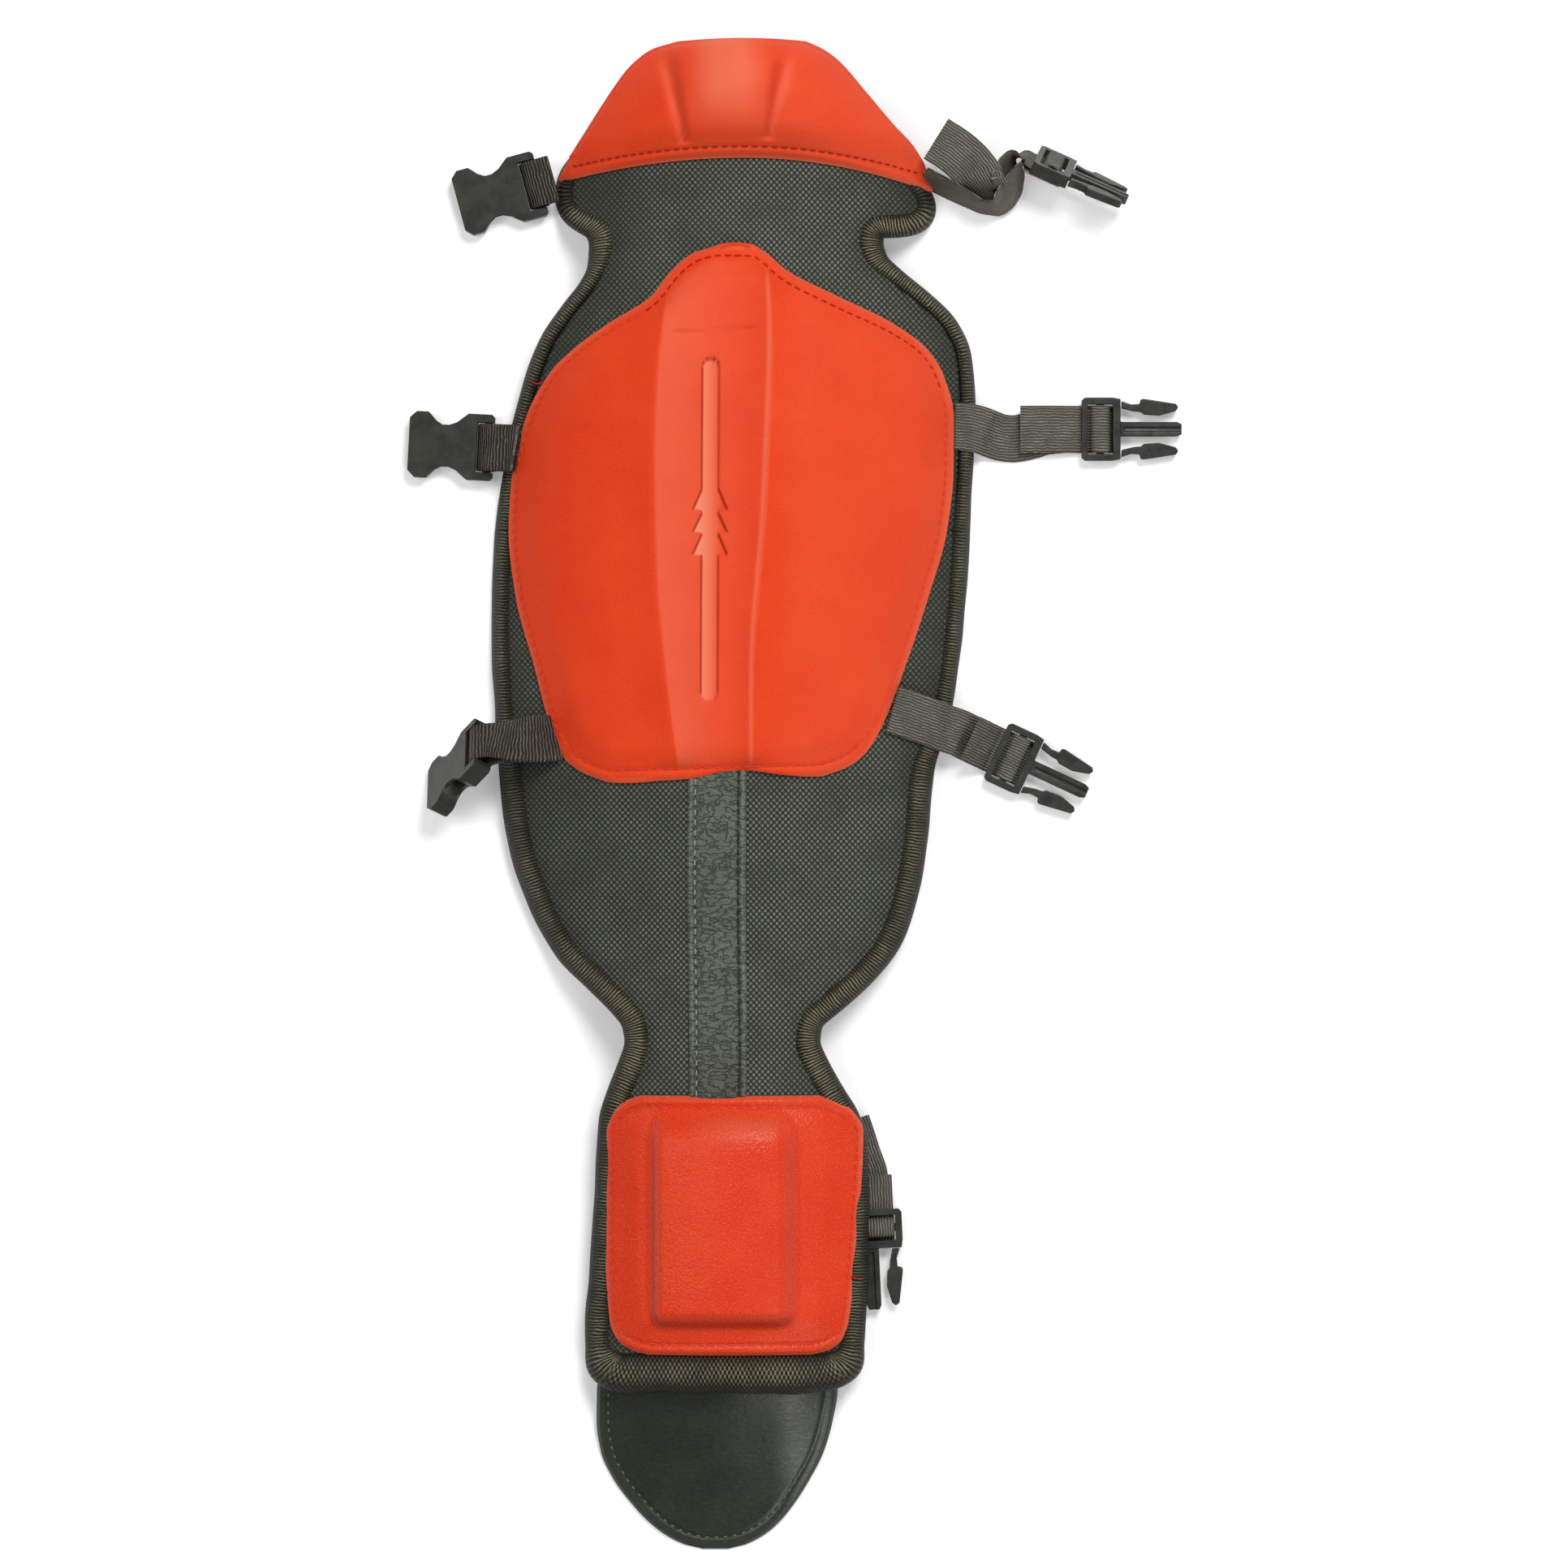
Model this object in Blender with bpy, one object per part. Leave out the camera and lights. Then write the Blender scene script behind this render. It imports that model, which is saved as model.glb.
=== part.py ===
import math

import bmesh
import bpy
from mathutils import Matrix, Vector

# A leg guard lying on its back: knee at +Y, toes at -Y, outer face up, floor at z = 0.
# All sizes are millimetres here and become metres where a mesh is written.
MM = 0.001
CENTRE_X = -28.0          # the guard's own centre line, so that the whole lay is centred on x = 0

# Layers of the padded body, measured straight down from the outer face
CLOTH = 0.8
LAYER_GAP = 0.5
FOAM_MIDDLE = 8.0
FOAM_EDGE = 5.0
COLUMNS = 8
DIAGONAL_TIE = 0.05

# The outer face is an arch over the leg: crown height, crown place across, and arch radius along y
CROWN = [(-250, 31.5), (-140, 34.0), (-104, 36.0), (-60, 42.0), (-20, 52.0), (30, 57.2), (75, 58.2),
         (120, 58.2), (165, 57.8), (200, 54.4), (233.5, 49.2), (255, 47.2), (285, 47.2), (320, 42.2)]
CROWN_X = [(-250, 0.0), (-140, 1.5), (-104, -2.0), (-60, -1.0), (-20, -3.5), (30, -1.5), (75, 0.5),
           (120, 3.0), (165, 5.0), (200, 5.0), (233.5, 5.0), (255, 7.9), (320, 7.9)]
ARCH_RADIUS = [(-250, 100), (-140, 100), (-104, 97), (-60, 95), (165, 95), (200, 93), (233.5, 84),
               (255, 76), (320, 76)]

# Cloth edges of the three sections as (y, x), inside the binding
KNEE_LEFT = [(235.8, -51.5), (238.9, -52.3), (241.5, -54.4), (245, -58.6), (249, -62.4), (254, -64),
             (260, -64), (270, -57), (284, -47), (298, -35), (304, -26)]
KNEE_RIGHT = [(235.8, 59.5), (238.9, 60.1), (241.5, 61.8), (243.3, 64.6), (244.2, 69), (245.4, 75),
              (247.6, 79.2), (251.5, 80.6), (262, 78.5), (270, 73), (284, 63), (298, 51), (304, 42)]
SHIN_LEFT = [(231.2, -51), (222, -51.6), (213, -55.5), (203, -63.5), (190, -72.5), (170, -80.2),
             (140, -87), (100, -92), (70, -92.6), (35, -91), (5, -89), (-20, -85.4), (-45, -77),
             (-62, -68), (-76, -54.5), (-88, -42), (-95, -37), (-101.5, -35.6)]
SHIN_RIGHT = [(231.2, 59.2), (225, 61), (216, 70), (206, 83), (197, 92), (186, 97), (165, 98.4),
              (135, 97.2), (96, 95.3), (60, 92), (34, 87.6), (10, 80.6), (-15, 78.6), (-42, 74),
              (-60, 67.5), (-74, 57), (-88, 41), (-95, 34), (-101.5, 31.8)]
INSTEP_LEFT = [(-106.5, -36.6), (-116, -39), (-128, -44), (-138, -46.8), (-170, -48.6), (-205, -51.2),
               (-230, -52.8), (-239, -51.5), (-243.4, -46)]
INSTEP_RIGHT = [(-106.5, 33.4), (-116, 36.8), (-127, 43), (-138, 49.5), (-150, 53), (-200, 52.8),
                (-230, 51.4), (-239, 50), (-243.4, 44)]
KNEE_ROWS = [235.8, 238.9, 241.5, 243.3, 244.2, 245.4, 247.6, 251.5, 260, 270, 284, 298, 304]
SHIN_ROWS = [231.2, 223, 213, 203, 190, 170, 135, 95, 55, 15, -20, -45, -62, -76, -88, -95, -101.5]
INSTEP_ROWS = [-106.5, -116, -127, -138, -155, -185, -215, -230, -239, -243.4]

# Binding tape round the cloth edge: outward and up from the outer face
BINDING = [(0.4, 0.9), (4.2, 0.9), (6.6, -0.9), (7.4, -3.6), (6.4, -6.8), (4.0, -7.9), (0.4, -7.9)]

# Moulded plates
SHELL_THICK = 3.0
SHELL_GAP = 3.0
SHIN_SHELL_LEFT = [(229.4, -7), (226, -14), (218.5, -22.5), (208.5, -31.5), (198.6, -48), (188.4, -63),
                   (178, -74), (160, -84), (137, -90), (112, -91.6), (85, -88.6), (55, -80.5), (28, -73),
                   (18, -68.5), (11.5, -60.5), (8, -50)]
SHIN_SHELL_RIGHT = [(229.4, 13), (226, 19.5), (218.5, 28), (208.5, 48), (198.6, 69.5), (188.4, 84),
                    (178, 91), (160, 95.6), (137, 95.4), (112, 92.6), (85, 85), (55, 75), (28, 64.5),
                    (18, 58.6), (11.5, 50.5), (8, 40)]
SHIN_SHELL_ROWS = [229.4, 226, 218.5, 208.5, 198.6, 188.4, 178, 160, 137, 112, 85, 55, 28, 18, 11.5, 8]
PANEL_LEFT = [(230, -4), (221, -23), (209, -25.5), (180, -29), (144, -30.7), (96, -29.7), (51, -25.6),
              (8, -19.5)]
PANEL_RIGHT = [(230, 9), (221, 17.2), (199, 18.2), (124, 15.5), (50, 10.4), (8, 10.4)]
PANEL_RISE = 3.0
PANEL_SLOPE = 6.0
GROOVE_X = -6.0
GROOVE_HALF = 3.6
GROOVE_TOP = 183.0
GROOVE_BOTTOM = 39.5
GROOVE_DEPTH = 1.4
BARB_TOPS = [128.5, 120.0, 111.5]
BARB_DROP = 7.0
BARB_REACH = 4.6
INSTEP_SHELL_LEFT = [(-127.4, -36), (-129.5, -42), (-134, -47.5), (-142, -50.2), (-192, -50.4),
                     (-222, -48.6), (-229.5, -45.5), (-233.6, -40), (-235.4, -33)]
INSTEP_SHELL_RIGHT = [(-127.4, 39), (-129.5, 46), (-134, 53), (-142, 57.2), (-192, 54.2), (-222, 51),
                      (-229.5, 48.4), (-233.6, 43.5), (-235.4, 36)]
INSTEP_SHELL_ROWS = [-127.4, -129.5, -134, -137.5, -142.5, -150, -180, -208, -217, -222, -229.5, -233.6,
                     -235.4]
BOX_RISE = 9.0
BOX_X = (-31.0, 31.0)
BOX_Y = (-223.0, -136.5)
BOX_SLOPE = 6.0
CAP_FOOT_Y = 268.5        # lower edge of the knee cap on the centre line
CAP_FOOT_SAG = 11.5       # how much lower that edge is at the two tips
CAP_ROWS = [(0.0, 79.0, 0.0), (0.1, 76.5, 5.0), (0.25, 70.5, 10.0), (0.45, 61.5, 14.0), (0.65, 51.5, 16.0),
            (0.82, 41.5, 15.5), (0.94, 32.0, 13.5), (1.0, 25.0, 11.5)]
CAP_TOP_Y = 316.0
CAP_X = 7.9

# Vinyl pieces
STRIP_X = (-15.3, 8.0)
STRIP_THICK = 1.5
STRIP_ROWS = [15.0, -5, -25, -45, -62, -78, -90, -101.8]
STRIP_ROWS_FOOT = [-106.2, -115, -124, -133]
FLAP_THICK = 2.0
FLAP_LEFT = [(-251.8, -54.2), (-266, -54.4), (-279, -52.6), (-290, -47.6), (-301, -39.5), (-311, -29.5),
             (-317.5, -18.5), (-319.6, -10)]
FLAP_RIGHT = [(-251.8, 46.4), (-266, 44.2), (-279, 40.4), (-290, 34.8), (-301, 27.8), (-311, 19),
              (-317.5, 8.5), (-319.6, 0.5)]
FLAP_ROWS = [-251.8, -266, -279, -290, -301, -311, -317.5, -319.6]
FLAP_CROWN = [(-319.6, 2.3), (-300, 5.5), (-280, 11.5), (-251.8, 20.5)]
FLAP_RADIUS = [(-319.6, 1200), (-300, 260), (-280, 130), (-251.8, 100)]
FLAP_X = -4.5

# Webbing and side-release buckles for 20 mm webbing
WEB_WIDTH = 20.0
WEB = 1.4
FLOOR_GAP = 0.3
STRAP_LIFT = 2.2          # middle of a strap above the cloth it lies on
BAR_RADIUS = 1.75
LOOP_RADIUS = 2.9
SOCKET_HEIGHT = 8.4
SOCKET_HALF = 14.0
SOCKET_LENGTH = 33.5
EAR_INNER = 10.6
PLUG_HEIGHT = 5.5
PLUG_HALF = 13.4
PLUG_REAR = -16.5
PRONG_LENGTH = 26.0
ARM_PIVOT = (1.4, 10.8)

FINISHES = {
    "cloth": ((0.050, 0.055, 0.043), 0.85),
    "binding": ((0.058, 0.058, 0.047), 0.75),
    "foam": ((0.05, 0.05, 0.05), 0.95),
    "shell": ((0.80, 0.075, 0.026), 0.45),
    "vinyl": ((0.050, 0.056, 0.044), 0.4),
    "webbing": ((0.080, 0.080, 0.065), 0.8),
    "buckle": ((0.030, 0.030, 0.025), 0.4),
}


def clear_scene():
    for old in list(bpy.data.objects):
        bpy.data.objects.remove(old, do_unlink=True)


def smooth(stations, at):
    # A curve through (y, value) stations that never overshoots between them
    points = sorted(stations)
    if at <= points[0][0]:
        return points[0][1]
    if at >= points[-1][0]:
        return points[-1][1]
    steps = [b[0] - a[0] for a, b in zip(points, points[1:])]
    rises = [(b[1] - a[1]) / step for a, b, step in zip(points, points[1:], steps)]
    slopes = [rises[0]]
    for before, after in zip(rises, rises[1:]):
        same_way = before * after > 0
        slopes.append(2 * before * after / (before + after) if same_way else 0.0)
    slopes.append(rises[-1])
    index = max(i for i, point in enumerate(points[:-1]) if point[0] <= at)
    step = steps[index]
    t = (at - points[index][0]) / step
    low, high = points[index][1], points[index + 1][1]
    blend = t * t * (3 - 2 * t)
    ease_low = t * (1 - t) ** 2 * step * slopes[index]
    ease_high = t * t * (t - 1) * step * slopes[index + 1]
    return low + (high - low) * blend + ease_low + ease_high


def ramp(value, start, end):
    t = min(1.0, max(0.0, (value - start) / (end - start)))
    return t * t * (3 - 2 * t)


def front(x, y):
    # Height of the body's outer face above the floor
    across = x - smooth(CROWN_X, y)
    return smooth(CROWN, y) - across * across / (2 * smooth(ARCH_RADIUS, y))


def make_material(name, finish):
    colour, roughness = FINISHES[finish]
    material = bpy.data.materials.new(name + "_" + finish)
    material.use_nodes = True
    shader = material.node_tree.nodes["Principled BSDF"]
    shader.inputs["Base Color"].default_value = (*colour, 1.0)
    shader.inputs["Roughness"].default_value = roughness
    shader.inputs["Metallic"].default_value = 0.0
    return material


def place(name, mesh, finish, pivot=(0, 0, 0), turn=None):
    part = bpy.data.objects.new(name, mesh)
    bpy.context.scene.collection.objects.link(part)
    part.data.materials.append(make_material(name, finish))
    part.parent = guard
    part.location = Vector(pivot) * MM
    if turn is not None:
        part.rotation_euler = turn.to_euler()
    return part


def closed_mesh(name, points, faces, pivot=(0, 0, 0)):
    base = Vector(pivot)
    mesh = bpy.data.meshes.new(name)
    mesh.from_pydata([(Vector(point) - base) * MM for point in points], [], faces)
    shape = bmesh.new()
    shape.from_mesh(mesh)
    bmesh.ops.recalc_face_normals(shape, faces=shape.faces)
    shape.to_mesh(mesh)
    shape.free()
    mesh.shade_smooth()
    mesh.set_sharp_from_angle(angle=math.radians(35))
    return mesh


def grid_solid(name, upper, lower, finish, pivot=(0, 0, 0)):
    # A closed slab between two grids of points that share their rows and columns. Every cell is split
    # along the same diagonal, so layers over the same grid keep their gap.
    rows, columns = len(upper), len(upper[0])
    points = [point for row in upper for point in row] + [point for row in lower for point in row]
    under = rows * columns
    faces = []
    for i in range(rows - 1):
        for j in range(columns - 1):
            a = i * columns + j
            b, c, d = a + 1, a + columns + 1, a + columns
            faces += [(a, b, c), (a, c, d)]
            faces += [(under + c, under + b, under + a), (under + d, under + c, under + a)]
    rim = [j for j in range(columns)]
    rim += [i * columns + columns - 1 for i in range(1, rows)]
    rim += [(rows - 1) * columns + j for j in range(columns - 2, -1, -1)]
    rim += [i * columns for i in range(rows - 2, 0, -1)]
    for a, b in zip(rim, rim[1:] + rim[:1]):
        faces.append((b, a, under + a, under + b))
    return place(name, closed_mesh(name, points, faces, pivot), finish, pivot)


def swept_solid(name, rings, finish, pivot=(0, 0, 0)):
    # A closed solid through rings of points, with flat ends. Each cell is split along its shorter diagonal,
    # or a fixed one where they tie, so the two faces of a twisted ribbon keep their distance.
    count = len(rings[0])
    points = [point for ring in rings for point in ring]
    faces = [tuple(range(count)), tuple(range(len(points) - count, len(points)))]
    for i in range(len(rings) - 1):
        for j in range(count):
            k = (j + 1) % count
            a, b, c, d = i * count + j, i * count + k, (i + 1) * count + k, (i + 1) * count + j
            one_way = (Vector(points[a]) - Vector(points[c])).length
            other_way = (Vector(points[b]) - Vector(points[d])).length
            longer = one_way - other_way
            across_first = longer < 0 if abs(longer) > DIAGONAL_TIE else j < count / 2
            faces += [(a, b, c), (a, c, d)] if across_first else [(a, b, d), (b, c, d)]
    return place(name, closed_mesh(name, points, faces, pivot), finish, pivot)


def even_fractions(count):
    return [i / count for i in range(count + 1)]


def body_layer(name, left, right, rows, top, bottom, finish, pivot):
    # One layer of the padded body; top and bottom give the drop below the outer face at u = -1 .. 1
    upper, lower = [], []
    for y in rows:
        x_left, x_right = smooth(left, y), smooth(right, y)
        upper_row, lower_row = [], []
        for fraction in even_fractions(COLUMNS):
            x = x_left + (x_right - x_left) * fraction
            u = 2 * fraction - 1
            z = front(x, y)
            upper_row.append((x, y, z - top(u)))
            lower_row.append((x, y, z - bottom(u)))
        upper.append(upper_row)
        lower.append(lower_row)
    return grid_solid(name, upper, lower, finish, pivot)


def foam_thickness(u):
    # Crowned in the middle and drawn in at the sewn edge
    return FOAM_EDGE + (FOAM_MIDDLE - FOAM_EDGE) * (1 - u ** 4)


def padded_section(section, left, right, rows, pivot):
    foam_top = CLOTH + LAYER_GAP
    body_layer(section + "_outer_cloth", left, right, rows,
               lambda u: 0.0, lambda u: CLOTH, "cloth", pivot)
    body_layer(section + "_foam", left, right, rows,
               lambda u: foam_top, lambda u: foam_top + foam_thickness(u), "foam", pivot)
    body_layer(section + "_lining", left, right, rows,
               lambda u: foam_top + foam_thickness(u) + LAYER_GAP,
               lambda u: foam_top + foam_thickness(u) + LAYER_GAP + CLOTH, "cloth", pivot)


def binding_rings(path):
    # The tape's section carried along a plan path, outward on the right-hand side of its travel
    rings = []
    for i, (x, y) in enumerate(path):
        before = path[max(i - 1, 0)]
        after = path[min(i + 1, len(path) - 1)]
        travel = Vector((after[0] - before[0], after[1] - before[1])).normalized()
        out = Vector((travel.y, -travel.x))
        if i in (0, len(path) - 1):
            out = Vector((math.copysign(1, out.x), 0))
        ring = []
        for reach, rise in BINDING:
            px, py = x + out.x * reach, y + out.y * reach
            ring.append((px, py, front(px, py) + rise))
        rings.append(ring)
    return rings


def edge_path(stations, rows):
    return [(smooth(stations, y), y) for y in rows]


def between(start, end, count):
    return [start + (end - start) * i / count for i in range(1, count)]


def cut_flat_at_floor(part):
    # Soft tape flattens where it rests, so what lies below the floor plane is cut away
    size = 800 * MM
    depth = 20 * MM
    box = bmesh.new()
    bmesh.ops.create_cube(box, size=1.0)
    bmesh.ops.scale(box, vec=(size, size, depth), verts=box.verts)
    bmesh.ops.translate(box, vec=(0, 0, -depth / 2), verts=box.verts)
    cutter = hidden_cutter(part.name + "_floor", box)
    add_boolean(part, cutter, "DIFFERENCE")


def hidden_cutter(name, shape):
    mesh = bpy.data.meshes.new(name)
    shape.to_mesh(mesh)
    shape.free()
    cutter = bpy.data.objects.new(name, mesh)
    bpy.context.scene.collection.objects.link(cutter)
    cutter.hide_render = True
    cutter.display_type = "WIRE"
    return cutter


def add_boolean(part, cutter, operation):
    boolean = part.modifiers.new(cutter.name, "BOOLEAN")
    boolean.operation = operation
    boolean.solver = "EXACT"
    boolean.object = cutter


def shell_solid(name, left, right, rows, columns, lift, finish, pivot):
    # A moulded plate that stands off the cloth; lift(x, y) is its rise above the flat plate
    upper, lower = [], []
    for y in rows:
        upper_row, lower_row = [], []
        for x in columns(smooth(left, y), smooth(right, y), y):
            z = front(x, y) + SHELL_GAP + lift(x, y)
            upper_row.append((x, y, z + SHELL_THICK))
            lower_row.append((x, y, z))
        upper.append(upper_row)
        lower.append(lower_row)
    return grid_solid(name, upper, lower, finish, pivot)


def shin_columns(left, right, y):
    panel_left = max(smooth(PANEL_LEFT, y), left + 2.0)
    panel_right = min(smooth(PANEL_RIGHT, y), right - 2.0)
    sides = [left + (panel_left - left) * i / 4 for i in range(4)]
    inner = [panel_left, panel_left + (panel_right - panel_left) * 0.15]
    inner += [(panel_left + panel_right) / 2, panel_right - (panel_right - panel_left) * 0.15, panel_right]
    outer = [panel_right + (right - panel_right) * i / 4 for i in range(1, 5)]
    return sides + inner + outer


def shin_lift(x, y):
    left_side = ramp(x, smooth(PANEL_LEFT, y), smooth(PANEL_LEFT, y) + PANEL_SLOPE)
    right_side = ramp(-x, -smooth(PANEL_RIGHT, y), -smooth(PANEL_RIGHT, y) + PANEL_SLOPE)
    return PANEL_RISE * left_side * right_side


def groove_outline():
    # A slot with a round top and, half way down, three barbs on each side
    half = GROOVE_HALF
    right = [(half, GROOVE_BOTTOM)]
    for top in reversed(BARB_TOPS):
        right.append((half, top - BARB_DROP))
        right.append((half + BARB_REACH, top - BARB_DROP - 0.4))
        right.append((half, top))
    right.append((half, GROOVE_TOP - half))
    arc = [(half * math.cos(a), GROOVE_TOP - half + half * math.sin(a))
           for a in (math.pi / 4, math.pi / 2, 3 * math.pi / 4)]
    left = [(-x, y) for x, y in reversed(right)]
    return [(GROOVE_X + x, y) for x, y in right + arc + left]


def cut_groove(shell):
    outline = groove_outline()
    floor = SHELL_GAP + SHELL_THICK + PANEL_RISE - GROOVE_DEPTH
    low = [(x, y, front(GROOVE_X, y) + floor) for x, y in outline]
    high = [(x, y, front(GROOVE_X, y) + floor + 12) for x, y in outline]
    count = len(outline)
    shape = bmesh.new()
    verts = [shape.verts.new(Vector((x + CENTRE_X, y, z)) * MM) for x, y, z in low + high]
    shape.faces.new(list(reversed(verts[:count])))
    shape.faces.new(verts[count:])
    for i in range(count):
        k = (i + 1) % count
        shape.faces.new((verts[i], verts[k], verts[count + k], verts[count + i]))
    bmesh.ops.recalc_face_normals(shape, faces=shape.faces)
    bmesh.ops.triangulate(shape, faces=shape.faces)
    add_boolean(shell, hidden_cutter("shin_groove", shape), "DIFFERENCE")


def instep_columns(left, right, y):
    low, high = BOX_X
    return [left, (left + low - 2) / 2, low - 1, low + BOX_SLOPE / 2, low + BOX_SLOPE + 1, -10, 10,
            high - BOX_SLOPE - 1, high - BOX_SLOPE / 2, high + 1, (right + high + 2) / 2, right]


def instep_lift(x, y):
    across = ramp(x, BOX_X[0], BOX_X[0] + BOX_SLOPE) * ramp(-x, -BOX_X[1], -BOX_X[1] + BOX_SLOPE)
    along = ramp(y, BOX_Y[0], BOX_Y[0] + BOX_SLOPE) * ramp(-y, -BOX_Y[1], -BOX_Y[1] + BOX_SLOPE)
    return BOX_RISE * across * along


def cap_point(v, u, lift):
    # v runs up the knee cap from its sewn foot, u runs across it from -1 to 1
    half = smooth([(row[0], row[1]) for row in CAP_ROWS], v)
    bulge = smooth([(row[0], row[2]) for row in CAP_ROWS], v)
    y = CAP_FOOT_Y + (CAP_TOP_Y - CAP_FOOT_Y) * v - CAP_FOOT_SAG * (1 - v) ** 2 * u * u
    x = CAP_X + half * u
    return (x, y, front(x, y) + lift + bulge * (1 - u * u))


def cap_grid(v_list, u_list, lift):
    return [[cap_point(v, u, lift) for u in u_list] for v in v_list]


def ribbon(name, path, across, finish, pivot, width=WEB_WIDTH, thick=WEB):
    # A flat strip along a path; across gives the direction of its width at each point
    rings = []
    for i, point in enumerate(path):
        before = path[max(i - 1, 0)]
        after = path[min(i + 1, len(path) - 1)]
        side = across[i].normalized() * width / 2
        rise = (after - before).cross(side).normalized() * thick / 2
        rings.append([point - side - rise, point + side - rise, point + side + rise, point - side + rise])
    return swept_solid(name, rings, finish, pivot)


def plan_across(path):
    # Level width directions, square to the path in plan
    sides = []
    for i in range(len(path)):
        travel = path[min(i + 1, len(path) - 1)] - path[max(i - 1, 0)]
        sides.append(Vector((-travel.y, travel.x, 0)).normalized())
    return sides


def tab(name, route, bar_across, root_across, twist, pivot):
    # Webbing folded double round a buckle bar: out along the under layer, round the bar and back.
    # Twist gives how far the first points have turned towards the bar's direction.
    path = route
    count = len(path)
    sides = plan_across(path)
    sides[-1] = bar_across
    sides[-2] = bar_across
    if root_across is not None:
        sides[0] = Vector(root_across)
    for i, share in enumerate(twist):
        sides[i] = sides[i].lerp(bar_across, share).normalized()
    under, over, under_across = [], [], []
    half_gap = (WEB + LAYER_GAP) / 2
    for i in range(count):
        travel = (path[min(i + 1, count - 1)] - path[max(i - 1, 0)]).normalized()
        normal = travel.cross(sides[i]).normalized()
        share = max(0.0, (i - count + 3) / 2)
        offset = normal * (half_gap + (LOOP_RADIUS - half_gap) * share)
        under.append(path[i] - offset)
        over.append(path[i] + offset)
        under_across.append(sides[i])
    arrive = (path[-1] - path[-2]).normalized()
    arrive = (arrive - bar_across * arrive.dot(bar_across)).normalized()
    normal = arrive.cross(bar_across).normalized()
    turn = [math.pi * i / 6 for i in range(1, 6)]
    loop = [path[-1] + LOOP_RADIUS * (arrive * math.sin(a) - normal * math.cos(a)) for a in turn]
    under[-1] = path[-1] - normal * LOOP_RADIUS
    over[-1] = path[-1] + normal * LOOP_RADIUS
    centre = under + loop + list(reversed(over))
    across = under_across + [bar_across] * len(loop) + list(reversed(under_across))
    ribbon(name, centre, across, "webbing", pivot)


def box_shape(low, high):
    shape = bmesh.new()
    bmesh.ops.create_cube(shape, size=1.0)
    size = [(b - a) * MM for a, b in zip(low, high)]
    middle = [(a + b) / 2 * MM for a, b in zip(low, high)]
    bmesh.ops.scale(shape, vec=size, verts=shape.verts)
    bmesh.ops.translate(shape, vec=middle, verts=shape.verts)
    return shape


def prism_shape(outline, low, high):
    # A plan outline carried up from low to high
    shape = bmesh.new()
    verts = [shape.verts.new((x * MM, y * MM, low * MM)) for x, y in outline]
    face = shape.faces.new(verts)
    grown = bmesh.ops.extrude_face_region(shape, geom=[face])
    raised = [item for item in grown["geom"] if isinstance(item, bmesh.types.BMVert)]
    bmesh.ops.translate(shape, vec=(0, 0, (high - low) * MM), verts=raised)
    bmesh.ops.recalc_face_normals(shape, faces=shape.faces)
    return shape


def carved(name, blank, steps):
    # Applies cuts and joins to a blank once, so that each copy of the piece shares the result
    part = hidden_cutter(name + "_blank", blank)
    helpers = []
    for index, (operation, shape) in enumerate(steps):
        helper = hidden_cutter(name + "_tool_" + str(index), shape)
        add_boolean(part, helper, operation)
        helpers.append(helper)
    bpy.context.view_layer.update()
    evaluated = part.evaluated_get(bpy.context.evaluated_depsgraph_get())
    mesh = bpy.data.meshes.new_from_object(evaluated)
    for helper in helpers + [part]:
        bpy.data.objects.remove(helper, do_unlink=True)
    return mesh


def mirrored(half):
    return half + [(x, -y) for x, y in reversed(half)]


def socket_mesh():
    # Buckle socket: bar at the origin, mouth towards +x, waisted sides open into the cavity
    height = SOCKET_HEIGHT / 2
    half = [(-2.6, SOCKET_HALF - 1.2), (-1.4, SOCKET_HALF), (8.5, SOCKET_HALF), (10.6, SOCKET_HALF - 1.6),
            (13.2, 10.2), (16.5, 8.8), (19.5, 8.8), (22.2, 10.4), (24.2, SOCKET_HALF - 1.4),
            (25.6, SOCKET_HALF), (30.6, SOCKET_HALF), (SOCKET_LENGTH, SOCKET_HALF - 2.8)]
    blank = prism_shape(mirrored(half), -height, height)
    slot = box_shape((-6, -EAR_INNER, -9), (4.7, EAR_INNER, 9))
    cavity = box_shape((8.8, -10.3, -2.6), (50, 10.3, 2.6))
    bar = bmesh.new()
    bmesh.ops.create_cone(bar, cap_ends=True, segments=10, radius1=BAR_RADIUS * MM, radius2=BAR_RADIUS * MM,
                          depth=(2 * EAR_INNER + 1.6) * MM, matrix=Matrix.Rotation(math.pi / 2, 4, "X"))
    return carved("socket", blank, [("DIFFERENCE", slot), ("DIFFERENCE", cavity), ("UNION", bar)])


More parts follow.
